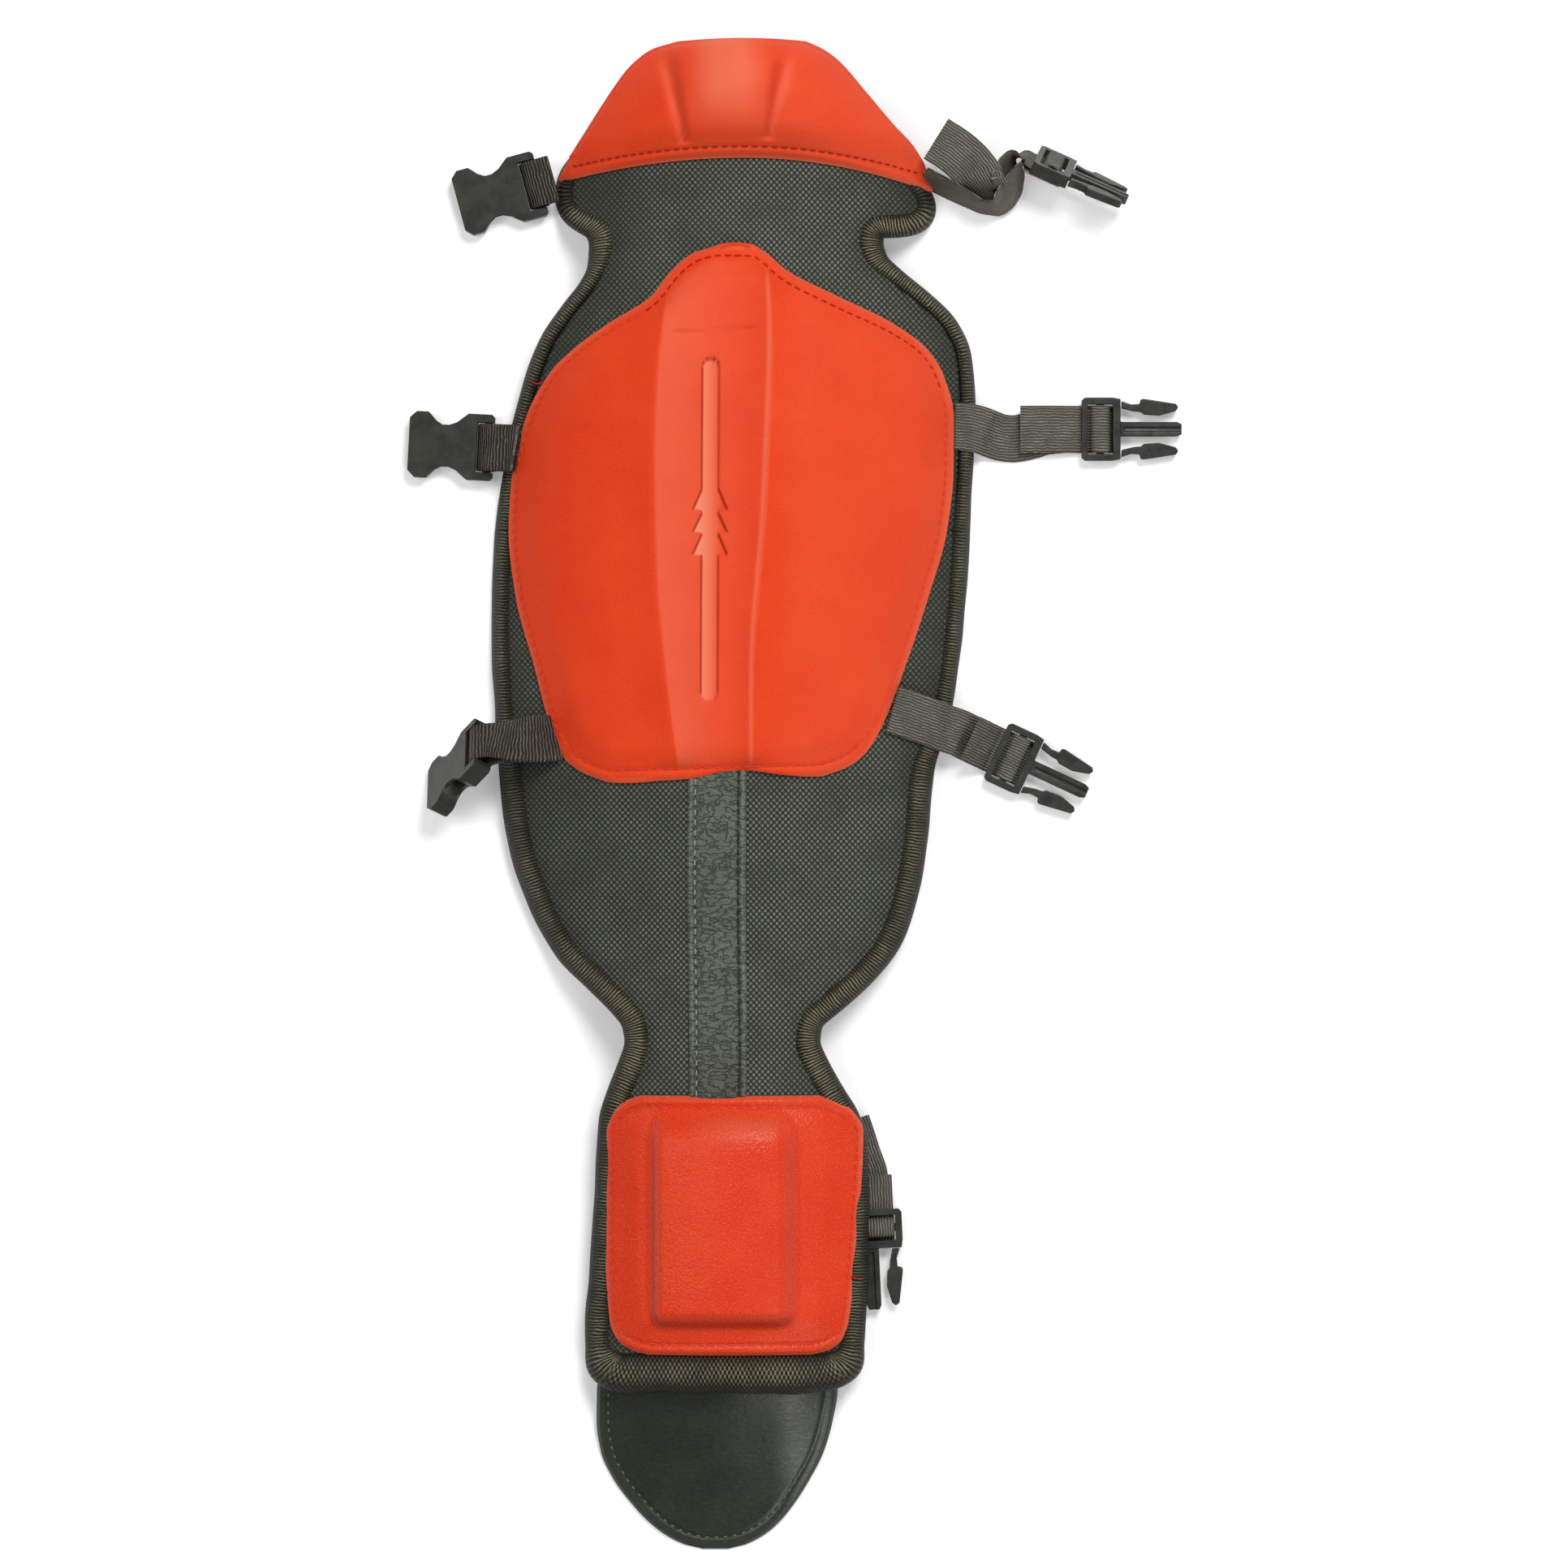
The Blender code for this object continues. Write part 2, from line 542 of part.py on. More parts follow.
def plug_mesh():
    # Buckle plug: front wall at x = 0, ladder bars behind it, grooved centre prong ahead
    half = [(PLUG_REAR, PLUG_HALF - 1.2), (PLUG_REAR + 1.4, PLUG_HALF), (-3.5, PLUG_HALF),
            (0, PLUG_HALF - 0.6)]
    blank = prism_shape(mirrored(half), 0, PLUG_HEIGHT)
    rear_slot = box_shape((-14, -EAR_INNER, -2), (-10.2, EAR_INNER, 9))
    front_slot = box_shape((-7, -EAR_INNER, -2), (-3.2, EAR_INNER, 9))
    under_rear = box_shape((-20, -EAR_INNER, -2), (-13.5, EAR_INNER, 2.6))
    under_middle = box_shape((-10.7, -EAR_INNER, -2), (-6.5, EAR_INNER, 1.0))
    over_middle = box_shape((-10.7, -EAR_INNER, 4.7), (-6.5, EAR_INNER, 9))
    prong_half = [(-1, 3.1), (PRONG_LENGTH - 2, 3.1), (PRONG_LENGTH, 2.2)]
    prong = prism_shape(mirrored(prong_half), 0.9, 4.5)
    prong_groove = box_shape((1.5, -0.9, 3.2), (40, 0.9, 9))
    return carved("plug", blank, [("DIFFERENCE", rear_slot), ("DIFFERENCE", front_slot),
                                  ("DIFFERENCE", under_rear), ("DIFFERENCE", under_middle),
                                  ("DIFFERENCE", over_middle), ("UNION", prong),
                                  ("DIFFERENCE", prong_groove)])


def arm_mesh(side):
    # One sprung arm: a bowed stem with an arrow head, hinged where it leaves the front wall
    outline = [(0.4, 8.8), (5.5, 7.6), (8.6, 7.3), (10.0, 6.2), (16.5, 5.8), (23.4, 7.6), (24.6, 9.2),
               (23.6, 10.8), (9.8, 12.9), (8.5, 12.6), (8.1, 10.7), (4.5, 10.5), (0.4, 11.9)]
    placed = [(x - ARM_PIVOT[0], side * (y - ARM_PIVOT[1])) for x, y in outline]
    shape = prism_shape(placed, 1.0, 4.4)
    mesh = bpy.data.meshes.new("arm")
    shape.to_mesh(mesh)
    shape.free()
    return mesh


def socket_turn(yaw, pitch, roll):
    # Yaw is the way the mouth points, pitch drops the mouth, roll lifts the socket's left side
    level = Matrix.Rotation(math.radians(yaw), 3, "Z") @ Matrix.Rotation(math.radians(pitch), 3, "Y")
    return level @ Matrix.Rotation(math.radians(roll), 3, "X")


def yaw_vector(yaw):
    return Vector((math.cos(math.radians(yaw)), math.sin(math.radians(yaw)), 0))


def plug(where, origin, yaw, roll=0.0, tail_back=None):
    # A plug with its two arms and the loose tail of the strap round its middle bar
    turn = Matrix.Rotation(math.radians(yaw), 3, "Z") @ Matrix.Rotation(math.radians(roll), 3, "X")
    base = Vector(origin)
    place("plug_" + where, plug_mesh(), "buckle", base, turn)
    for side_name, side in (("left", 1), ("right", -1)):
        pivot = base + turn @ Vector((ARM_PIVOT[0], side * ARM_PIVOT[1], 0))
        place("plug_arm_" + where + "_" + side_name, arm_mesh(side), "buckle", pivot, turn)
    wrap = [(-5.1, 0.5), (-5.1, 3.1), (-5.9, 5.2), (-8.6, 5.9), (-11.3, 5.2), (-12.2, 3.2), (-13.0, 1.9),
            (-15.0, 1.4), (-17.6, 1.4)]
    path = [base + turn @ Vector((x, 0, z)) for x, z in wrap]
    across = [turn @ Vector((0, 1, 0))] * len(path)
    for point, side in tail_back:
        path.append(Vector(point))
        across.append(Vector(side))
    ribbon("tail_" + where, path, across, "webbing", base)


def strap_points(plan, floor_from, lift=STRAP_LIFT):
    # Lies on the highest cloth under its width, then drops to the floor from plan point floor_from on
    flat = [Vector((x, y, 0)) for x, y, z in plan]
    path = []
    for point, side, (x, y, z) in zip(flat, plan_across(flat), plan):
        under = [point + side * WEB_WIDTH * share for share in (-0.5, -0.25, 0, 0.25, 0.5)]
        highest = max(front(spot.x, spot.y) for spot in under)
        lying = len(path) < floor_from
        path.append(Vector((x, y, highest + lift if lying else z)))
    return path


clear_scene()
guard = bpy.data.objects.new("guard", None)
bpy.context.scene.collection.objects.link(guard)
guard.location = (CENTRE_X * MM, 0, 0)

# Folds of the body
KNEE_FOLD = (0, 233.5, 26)
ANKLE_FOLD = (0, -104, 38)
TOE_FOLD = (0, -251.6, 21)

padded_section("knee", KNEE_LEFT, KNEE_RIGHT, KNEE_ROWS, KNEE_FOLD)
padded_section("shin", SHIN_LEFT, SHIN_RIGHT, SHIN_ROWS, (0, 0, 0))
padded_section("instep", INSTEP_LEFT, INSTEP_RIGHT, INSTEP_ROWS, ANKLE_FOLD)

KNEE_TOP_Y = KNEE_ROWS[-1]
knee_path = edge_path(KNEE_RIGHT, KNEE_ROWS)
knee_path += [(x, KNEE_TOP_Y) for x in
              between(smooth(KNEE_RIGHT, KNEE_TOP_Y), smooth(KNEE_LEFT, KNEE_TOP_Y), 4)]
knee_path += list(reversed(edge_path(KNEE_LEFT, KNEE_ROWS)))
knee_binding = swept_solid("knee_binding", binding_rings(knee_path), "binding", KNEE_FOLD)
left_binding = swept_solid("shin_binding_left", binding_rings(edge_path(SHIN_LEFT, SHIN_ROWS)), "binding")
right_rows = list(reversed(SHIN_ROWS))
right_binding = swept_solid("shin_binding_right", binding_rings(edge_path(SHIN_RIGHT, right_rows)), "binding")
INSTEP_END_Y = INSTEP_ROWS[-1]
instep_path = edge_path(INSTEP_LEFT, INSTEP_ROWS)
instep_path += [(x, INSTEP_END_Y) for x in
                between(smooth(INSTEP_LEFT, INSTEP_END_Y), smooth(INSTEP_RIGHT, INSTEP_END_Y), 4)]
instep_path += list(reversed(edge_path(INSTEP_RIGHT, INSTEP_ROWS)))
swept_solid("instep_binding", binding_rings(instep_path), "binding", ANKLE_FOLD)
for resting in (knee_binding, left_binding, right_binding):
    cut_flat_at_floor(resting)

shin_shell = shell_solid("shin_shell", SHIN_SHELL_LEFT, SHIN_SHELL_RIGHT, SHIN_SHELL_ROWS, shin_columns,
                         shin_lift, "shell", (0, 0, 0))
cut_groove(shin_shell)
shell_solid("instep_shell", INSTEP_SHELL_LEFT, INSTEP_SHELL_RIGHT, INSTEP_SHELL_ROWS, instep_columns,
            instep_lift, "shell", ANKLE_FOLD)
cap_u = [2 * fraction - 1 for fraction in even_fractions(10)]
cap_v = [row[0] for row in CAP_ROWS]
grid_solid("knee_cap", cap_grid(cap_v, cap_u, SHELL_GAP + SHELL_THICK), cap_grid(cap_v, cap_u, SHELL_GAP),
           "shell", KNEE_FOLD)
cushion_u = [0.72 * u for u in cap_u]
cushion_v = [0.2, 0.32, 0.45, 0.58, 0.7]
cushion_foot = [[(x, y, front(x, y) + LAYER_GAP) for x, y, z in row]
                for row in cap_grid(cushion_v, cushion_u, 0)]
grid_solid("knee_cushion", cap_grid(cushion_v, cushion_u, 1.2), cushion_foot, "foam", KNEE_FOLD)


def strip_solid(name, rows, pivot):
    columns = [STRIP_X[0] + (STRIP_X[1] - STRIP_X[0]) * fraction for fraction in even_fractions(3)]
    upper = [[(x, y, front(x, y) + LAYER_GAP + STRIP_THICK) for x in columns] for y in rows]
    lower = [[(x, y, front(x, y) + LAYER_GAP) for x in columns] for y in rows]
    grid_solid(name, upper, lower, "vinyl", pivot)


strip_solid("centre_strip_shin", STRIP_ROWS, (0, 0, 0))
strip_solid("centre_strip_instep", STRIP_ROWS_FOOT, ANKLE_FOLD)


def flap_height(x, y):
    across = x - FLAP_X
    return smooth(FLAP_CROWN, y) - across * across / (2 * smooth(FLAP_RADIUS, y))


flap_upper, flap_lower = [], []
for row_y in FLAP_ROWS:
    edge_left, edge_right = smooth(FLAP_LEFT, row_y), smooth(FLAP_RIGHT, row_y)
    flap_x = [edge_left + (edge_right - edge_left) * fraction for fraction in even_fractions(COLUMNS)]
    flap_upper.append([(x, row_y, flap_height(x, row_y)) for x in flap_x])
    flap_lower.append([(x, row_y, flap_height(x, row_y) - FLAP_THICK) for x in flap_x])
grid_solid("toe_flap", flap_upper, flap_lower, "vinyl", TOE_FOLD)

# Left side: webbing tabs and buckle sockets. A bar's height rests the socket on the floor; the lower shin
# socket hangs from its twisted tab with one corner of its mouth on the floor.
BAR_Z = SOCKET_HEIGHT / 2 + FLOOR_GAP
TAB_LIFT = 5.2            # middle of the doubled webbing above the cloth it lies on

# Each tab: the socket's yaw, pitch and roll, its bar, how many route points lie on the cloth, the route to
# the bar, the direction of the plate's edge where the tab leaves a plate at a slant, and its twist
TABS = {
    "knee": ((195.0, 0, 0), (-81.5, 259.4, BAR_Z), 0,
             [(-73.4, 261.6, 11.8), (-76.6, 260.7, 11.2), (-79.8, 259.9, 9.2)], None, ()),
    "shin_upper": ((177.0, 0, 0), (-101.5, 147.6, BAR_Z), 2,
                   [(-89.0, 146.9, 0), (-92.0, 147.1, 0), (-96.4, 147.3, 14.0), (-100.0, 147.5, 9.8)],
                   (-0.23, -0.97, 0), ()),
    "shin_lower": ((225.0, 35.0, 60.0), (-104.0, 20.2, 29.6), 1,
                   [(-73.6, 24.0, 0), (-79.5, 23.8, 36.0), (-86.0, 23.4, 35.4), (-92.5, 22.9, 33.6),
                    (-98.5, 21.8, 31.2)],
                   (0.4, -0.92, 0), (0, 0.18, 0.5, 0.85)),
    "ankle": ((0.0, 0, 0), (-31.0, -150, BAR_Z), 0,
              [(-45.0, -150, 9.5), (-41.0, -150, 7.4), (-36.5, -150, 5.4)], None, ()),
}
for where, (turns, bar, on_cloth, route, root_across, twist) in TABS.items():
    turn = socket_turn(*turns)
    tab_path = strap_points(route + [bar], on_cloth, TAB_LIFT)
    tab("tab_" + where, tab_path, turn @ Vector((0, 1, 0)), root_across, twist, tab_path[0])
    place("socket_" + where, socket_mesh(), "buckle", bar, turn)

# Right side: adjustable straps, each lying flat on the floor under its plug
STRAP_Z = FLOOR_GAP + WEB / 2
PLUG_Z = FLOOR_GAP + WEB + 0.4


def floor_tail(origin, yaw, ends):
    # Tail points behind a plug as (distance back, height), level across
    ahead = yaw_vector(yaw)
    side = Vector((0, 0, 1)).cross(ahead)
    return [(Vector((origin[0], origin[1], z)) - ahead * back, side) for back, z in ends]


SHIN_UPPER_PLUG = (167.3, 155.5, PLUG_Z)
upper_plan = [(96.9, 156.4, 0), (101, 156.3, 0), (105.0, 156.1, 0), (109.0, 156, 8.6), (112.5, 155.8, 4.2),
              (117, 155.6, 1.7), (122, 155.5, STRAP_Z), (163.6, 155.5, STRAP_Z)]
upper_path = strap_points(upper_plan, 3)
ribbon("strap_shin_upper", upper_path, plan_across(upper_path), "webbing", upper_path[0])
plug("shin_upper", SHIN_UPPER_PLUG, 0.0,
     tail_back=floor_tail(SHIN_UPPER_PLUG, 0.0, [(22, 4.6), (29, 5.8), (36, 5.9), (42.5, 5.2)]))

LOWER_YAW = -25.0
LOWER_PLUG = (129.5, 12.0, PLUG_Z)
lower_ahead = yaw_vector(LOWER_YAW)


def behind_lower(back, z):
    return (LOWER_PLUG[0] - lower_ahead.x * back, LOWER_PLUG[1] - lower_ahead.y * back, z)


lower_plan = [(70.3, 36.2, 0), (78, 33.8, 0), (86, 31.0, 0), (93.4, 28.2, 0), behind_lower(34.0, 12.4),
              behind_lower(30.0, 6.4), behind_lower(26.0, 2.4), behind_lower(22.0, STRAP_Z),
              behind_lower(3.7, STRAP_Z)]
lower_path = strap_points(lower_plan, 4)
ribbon("strap_shin_lower", lower_path, plan_across(lower_path), "webbing", lower_path[0])
plug("shin_lower", LOWER_PLUG, LOWER_YAW,
     tail_back=floor_tail(LOWER_PLUG, LOWER_YAW, [(20.5, 6.4), (24.5, 11.2), (28.5, 16.2)]))

ANKLE_YAW = -87.3
ANKLE_PLUG = (61.6, -192.5, PLUG_Z)
ankle_ahead = yaw_vector(ANKLE_YAW)
ankle_plan = [(54.0, -139.0, 3.2), (56.4, -146, 2.2), (58.6, -153, 1.4), (60.2, -162, STRAP_Z),
              (ANKLE_PLUG[0] - 3.7 * ankle_ahead.x, ANKLE_PLUG[1] - 3.7 * ankle_ahead.y, STRAP_Z)]
ankle_path = strap_points(ankle_plan, 0)
ribbon("strap_ankle", ankle_path, plan_across(ankle_path), "webbing", ankle_path[0])
plug("ankle", ANKLE_PLUG, ANKLE_YAW,
     tail_back=floor_tail(ANKLE_PLUG, ANKLE_YAW, [(21, 3.9), (26, 4.0), (31, 3.9)]))

# The knee strap stands on its edge, turns back on itself and ends in a plug lying on its side
KNEE_YAW = -24.0
KNEE_ROLL = -68.0
KNEE_PLUG = (145.0, 260.6, 13.6)
knee_turn = Matrix.Rotation(math.radians(KNEE_YAW), 3, "Z") @ Matrix.Rotation(math.radians(KNEE_ROLL), 3, "X")
knee_side = knee_turn @ Vector((0, 1, 0))


def by_knee_plug(x, z):
    return Vector(KNEE_PLUG) + knee_turn @ Vector((x, 0, z))


def by_places(places):
    return [(Vector(point), Vector(side)) for point, side in places]


edge_on = (0, 0, -1)
knee_route = by_places([((89.4, 259.5, 11.8), (0, -0.25, -0.97)), ((95.0, 256.2, 11.8), (0, -0.12, -0.99)),
                        ((103.0, 251.6, 12.0), edge_on), ((109.5, 247.2, 12.2), edge_on),
                        ((114.6, 247.0, 12.4), edge_on), ((118.8, 251.8, 12.6), edge_on),
                        ((121.0, 260.0, 13.0), (0.03, 0.06, -1)),
                        ((122.6, 265.8, 13.2), (0.08, 0.18, -0.97))])
knee_route += [(by_knee_plug(-20.4, -1.2), knee_side), (by_knee_plug(-18.0, -1.1), knee_side),
               (by_knee_plug(-3.7, -1.1), knee_side)]
ribbon("strap_knee", [place for place, side in knee_route], [side for place, side in knee_route], "webbing",
       knee_route[0][0])
knee_tail = by_places([((126.4, 271.2, 14.2), (0.15, 0.34, -0.93)), ((122.0, 271.6, 14.4), edge_on),
                       ((118.4, 267.0, 14.8), edge_on), ((115.8, 260.6, 15.2), edge_on),
                       ((113.0, 257.2, 16.0), (-0.1, -0.1, -0.98)),
                       ((109.4, 258.4, 17.5), (-0.25, -0.22, -0.94)),
                       ((104.4, 263.6, 21.0), (-0.5, -0.45, -0.74)),
                       ((98.4, 270.6, 25.5), (-0.62, -0.62, -0.48)),
                       ((92.4, 277.4, 28.0), (-0.6, -0.78, -0.15))])
plug("knee", KNEE_PLUG, KNEE_YAW, KNEE_ROLL, tail_back=knee_tail)
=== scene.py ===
import math

import bmesh
import bpy
import numpy as np
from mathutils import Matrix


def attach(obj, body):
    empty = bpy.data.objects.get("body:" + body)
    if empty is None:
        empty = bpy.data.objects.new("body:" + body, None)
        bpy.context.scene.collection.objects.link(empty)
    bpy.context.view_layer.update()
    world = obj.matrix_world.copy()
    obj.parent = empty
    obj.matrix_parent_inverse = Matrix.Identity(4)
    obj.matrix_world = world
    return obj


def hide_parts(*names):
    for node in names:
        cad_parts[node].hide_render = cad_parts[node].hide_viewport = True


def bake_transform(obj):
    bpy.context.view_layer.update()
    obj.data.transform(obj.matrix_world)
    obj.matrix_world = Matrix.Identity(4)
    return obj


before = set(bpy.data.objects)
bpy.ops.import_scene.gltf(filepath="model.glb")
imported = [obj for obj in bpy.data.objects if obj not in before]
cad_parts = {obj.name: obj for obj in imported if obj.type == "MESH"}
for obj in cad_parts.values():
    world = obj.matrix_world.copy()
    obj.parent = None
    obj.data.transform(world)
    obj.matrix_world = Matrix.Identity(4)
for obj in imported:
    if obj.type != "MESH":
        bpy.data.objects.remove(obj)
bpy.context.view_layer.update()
scene = bpy.context.scene
print("frame loaded")

# The guard is worked out in millimetres from its own centre line; putMesh makes metres of it.
mm = 0.001
centreX = -28.0
floorGap = 0.15

# The outer face arches over the leg; the edges are where the cloth ends, all as (y, value).
guard = dict(
    crown=[(-250, 31.5), (-140, 34.0), (-104, 36.0), (-60, 42.0), (-20, 52.0), (30, 57.2), (75, 58.2), (120, 58.2),
           (165, 57.8), (200, 54.4), (233.5, 49.2), (255, 47.2), (285, 47.2), (320, 42.2)],
    crownX=[(-250, 0.0), (-140, 1.5), (-104, -2.0), (-60, -1.0), (-20, -3.5), (30, -1.5), (75, 0.5), (120, 3.0),
            (165, 5.0), (200, 5.0), (233.5, 5.0), (255, 7.9), (320, 7.9)],
    radius=[(-250, 100), (-140, 100), (-104, 97), (-60, 95), (165, 95), (200, 93), (233.5, 84), (255, 76), (320, 76)],
    left=[(-243.4, -46), (-239, -51.5), (-230, -52.8), (-205, -51.2), (-170, -48.6), (-138, -46.8), (-128, -44),
          (-116, -39), (-104, -35.8), (-95, -37), (-88, -42), (-76, -54.5), (-62, -68), (-45, -77), (-20, -85.4),
          (5, -89), (35, -91), (70, -92.6), (100, -92), (140, -87), (170, -80.2), (190, -72.5), (203, -63.5),
          (213, -55.5), (222, -51.6), (233, -50.8), (238.9, -52.3), (241.5, -54.4), (245, -59.4), (249, -64),
          (254, -65.8), (260, -65), (270, -57), (284, -47), (298, -35), (304, -26)],
    right=[(-243.4, 44), (-239, 50), (-230, 51.4), (-200, 52.8), (-150, 53), (-138, 49.5), (-127, 43), (-116, 36.8),
           (-104, 32.2), (-95, 34), (-88, 41), (-74, 57), (-60, 67.5), (-42, 74), (-15, 78.6), (10, 80.6), (34, 87.6),
           (60, 92), (96, 95.3), (135, 97.2), (165, 98.4), (186, 97), (197, 92), (206, 83), (216, 70), (225, 61),
           (233, 59.0), (238.9, 60.1), (241.2, 61.8), (242.5, 64.6), (243.1, 69), (243.8, 75), (245.4, 80),
           (249.5, 82.2), (255, 79.6), (262, 73.5), (270, 67.5), (284, 57), (298, 46.5), (304, 38)],
    top=304.0, split=112.0, bottom=-243.4)


def curveThrough(stations, at):
    # smooth curve through (place, value) stations: cubic pieces with harmonic-mean slopes, so it never overshoots
    pts = np.array(sorted(stations), float)
    x, v = pts[:, 0], pts[:, 1]
    step = np.diff(x)
    rise = np.diff(v) / step
    both = rise[:-1] * rise[1:]
    total = np.where(both > 0, rise[:-1] + rise[1:], 1.0)
    slopes = np.concatenate(([rise[0]], np.where(both > 0, 2 * both / total, 0.0), [rise[-1]]))
    at = np.clip(np.asarray(at, float), x[0], x[-1])
    k = np.clip(np.searchsorted(x, at, side="right") - 1, 0, len(step) - 1)
    t = (at - x[k]) / step[k]
    eased = v[k] + (v[k + 1] - v[k]) * t * t * (3 - 2 * t)
    return eased + t * (1 - t) ** 2 * step[k] * slopes[k] + t * t * (t - 1) * step[k] * slopes[k + 1]


def clamp(value):
    return np.clip(value, 0, 1)


def ease(value, start, end):
    # 0 before start, 1 after end, smooth between
    t = clamp((np.asarray(value, float) - start) / (end - start))
    return t * t * (3 - 2 * t)


def faceHeight(x, y):
    # crown height less the square of the distance from the crown over twice the arch radius
    across = x - curveThrough(guard["crownX"], y)
    return curveThrough(guard["crown"], y) - across ** 2 / (2 * curveThrough(guard["radius"], y))


def hump(value, centre, width):
    # 1 at the centre, falling away smoothly on both sides
    return np.exp(-((value - centre) / width) ** 2)


def unit(v):
    return v / np.maximum(np.linalg.norm(v, axis=-1, keepdims=True), 1e-9)


def pairs(a, b):
    return np.stack(np.broadcast_arrays(a, b), -1)


def gridQuads(rows, cols):
    cell = (np.arange(rows - 1)[:, None] * cols + np.arange(cols - 1)[None]).ravel()
    return np.stack([cell, cell + 1, cell + cols + 1, cell + cols], axis=1)


def ringQuads(rings, count):
    i = np.arange(rings - 1)[:, None] * count
    j = np.arange(count)[None]
    k = (j + 1) % count
    return np.stack([i + j, i + k, i + count + k, i + count + j], axis=-1).reshape(-1, 4)


def placeMesh(name, mesh, sharp, clean=False):
    # faces turned outwards and shaded smooth up to the sharp angle; clean joins triangles into flat faces
    shape = bmesh.new()
    shape.from_mesh(mesh)
    if clean:
        bmesh.ops.remove_doubles(shape, verts=shape.verts, dist=0.00001)
        bmesh.ops.dissolve_limit(shape, angle_limit=math.radians(1.0), verts=shape.verts, edges=shape.edges)
    bmesh.ops.recalc_face_normals(shape, faces=shape.faces)
    shape.to_mesh(mesh)
    shape.free()
    mesh.shade_smooth()
    mesh.set_sharp_from_angle(angle=math.radians(sharp))
    piece = bpy.data.objects.new(name, mesh)
    scene.collection.objects.link(piece)
    return piece


def putMesh(name, points, quads, finishes, flat, caps=(), parts=None, marks=None):
    # points in mm; flat is the pattern's own map in mm; parts picks a finish for each face
    points = np.asarray(points, float).reshape(-1, 3)
    mesh = bpy.data.meshes.new(name)
    mesh.from_pydata((points + (centreX, 0, 0)) * mm, [], np.asarray(quads).tolist() + [list(c) for c in caps])
    for finish in finishes if isinstance(finishes, (list, tuple)) else [finishes]:
        mesh.materials.append(finish)
    if parts is not None:
        mesh.polygons.foreach_set("material_index", np.asarray(parts, np.int32))
    flat = np.asarray(flat, float).reshape(-1, 2)
    corner = np.empty(len(mesh.loops), np.int32)
    mesh.loops.foreach_get("vertex_index", corner)
    mesh.uv_layers.new(name="flat").data.foreach_set("uv", flat[corner].astype(np.float32).ravel())
    for key, values in (marks or {}).items():
        mesh.attributes.new(key, "FLOAT", "POINT").data.foreach_set("value", np.asarray(values, np.float32).ravel())
    return placeMesh(name, mesh, 60)


def plate(name, x, y, top, bottom, finishes, marks=None, bulge=0.45):
    # closed plate between two heights, its edge rounded by one ring pushed out of the middle of the thickness
    rows, cols = x.shape
    n = rows * cols
    grid = np.arange(n).reshape(rows, cols)
    border = np.concatenate([grid[0, :-1], grid[:-1, -1], grid[-1, :0:-1], grid[:0:-1, 0]])
    upper, lower = [np.stack([x, y, z], -1).reshape(-1, 3) for z in (top, bottom)]
    along = np.roll(upper[border], -1, 0) - np.roll(upper[border], 1, 0)
    out = unit(np.stack([along[:, 1], -along[:, 0], 0 * along[:, 0]], 1))
    thick = np.linalg.norm(upper[border] - lower[border], axis=1, keepdims=True)
    middle = (upper[border] + lower[border]) / 2 + out * thick * bulge
    a = np.arange(len(border))
    b = (a + 1) % len(border)
    quads = np.concatenate([gridQuads(rows, cols), gridQuads(rows, cols)[:, ::-1] + n,
                            np.stack([border[a], 2 * n + a, 2 * n + b, border[b]], 1),
                            np.stack([2 * n + a, n + border[a], n + border[b], 2 * n + b], 1)])
    cells = (rows - 1) * (cols - 1)
    parts = np.zeros(len(quads), int)
    if isinstance(finishes, (list, tuple)):
        parts[cells:2 * cells] = 1
    flat = upper[:, :2]
    spread = {key: np.concatenate([v.ravel(), v.ravel(), v.ravel()[border]]) for key, v in (marks or {}).items()}
    return putMesh(name, np.concatenate([upper, lower, middle]), quads, finishes,
                   np.concatenate([flat, flat, flat[border]]), parts=parts, marks=spread)


def sweep(name, rings, finish, flat, marks=None):
    # closed tube through rings of points, with flat ends
    count, around = rings.shape[:2]
    caps = [range(around), range((count - 1) * around, count * around)]
    return putMesh(name, rings, ringQuads(count, around), finish, flat, caps, marks=marks)


def runAlong(path):
    # distance travelled at every point of a path
    return np.concatenate(([0], np.cumsum(np.linalg.norm(np.diff(path, axis=0), axis=1))))


def straightAt(at, run, values):
    return np.stack([np.interp(at, run, column) for column in values.T], 1)


def smoothAt(at, run, values):
    return np.stack([curveThrough(list(zip(run, column)), at) for column in values.T], 1)


def evenly(path, step):
    # the same path with points a fixed step apart, counted along it
    run = runAlong(path)
    at = np.linspace(0, run[-1], max(int(round(run[-1] / step)), 2) + 1)
    return straightAt(at, run, path), at


def settle(values, width, closed=False):
    # running mean over width points, which rounds a path's corners
    pad = width // 2
    before, after = values[-pad:], values[:pad]
    if not closed:
        before, after = 2 * values[:1] - values[pad:0:-1], 2 * values[-1:] - values[-2:-pad - 2:-1]
    padded = np.concatenate([before, values, after])
    kernel = np.ones(2 * pad + 1) / (2 * pad + 1)
    return np.stack([np.convolve(padded[:, k], kernel, "valid") for k in range(values.shape[1])], 1)


def lineDistance(x, y, lines):
    # distance from every point to the nearest of several straight lines
    best = np.full(np.shape(x), 1e9)
    for (ax, ay), (bx, by) in lines:
        length = max((bx - ax) ** 2 + (by - ay) ** 2, 1e-9)
        t = clamp(((x - ax) * (bx - ax) + (y - ay) * (by - ay)) / length)
        best = np.minimum(best, (x - ax - t * (bx - ax)) ** 2 + (y - ay - t * (by - ay)) ** 2)
    return np.sqrt(best)


def outlineDistance(x, y, outline):
    return lineDistance(x, y, zip(outline, np.roll(outline, -1, 0)))


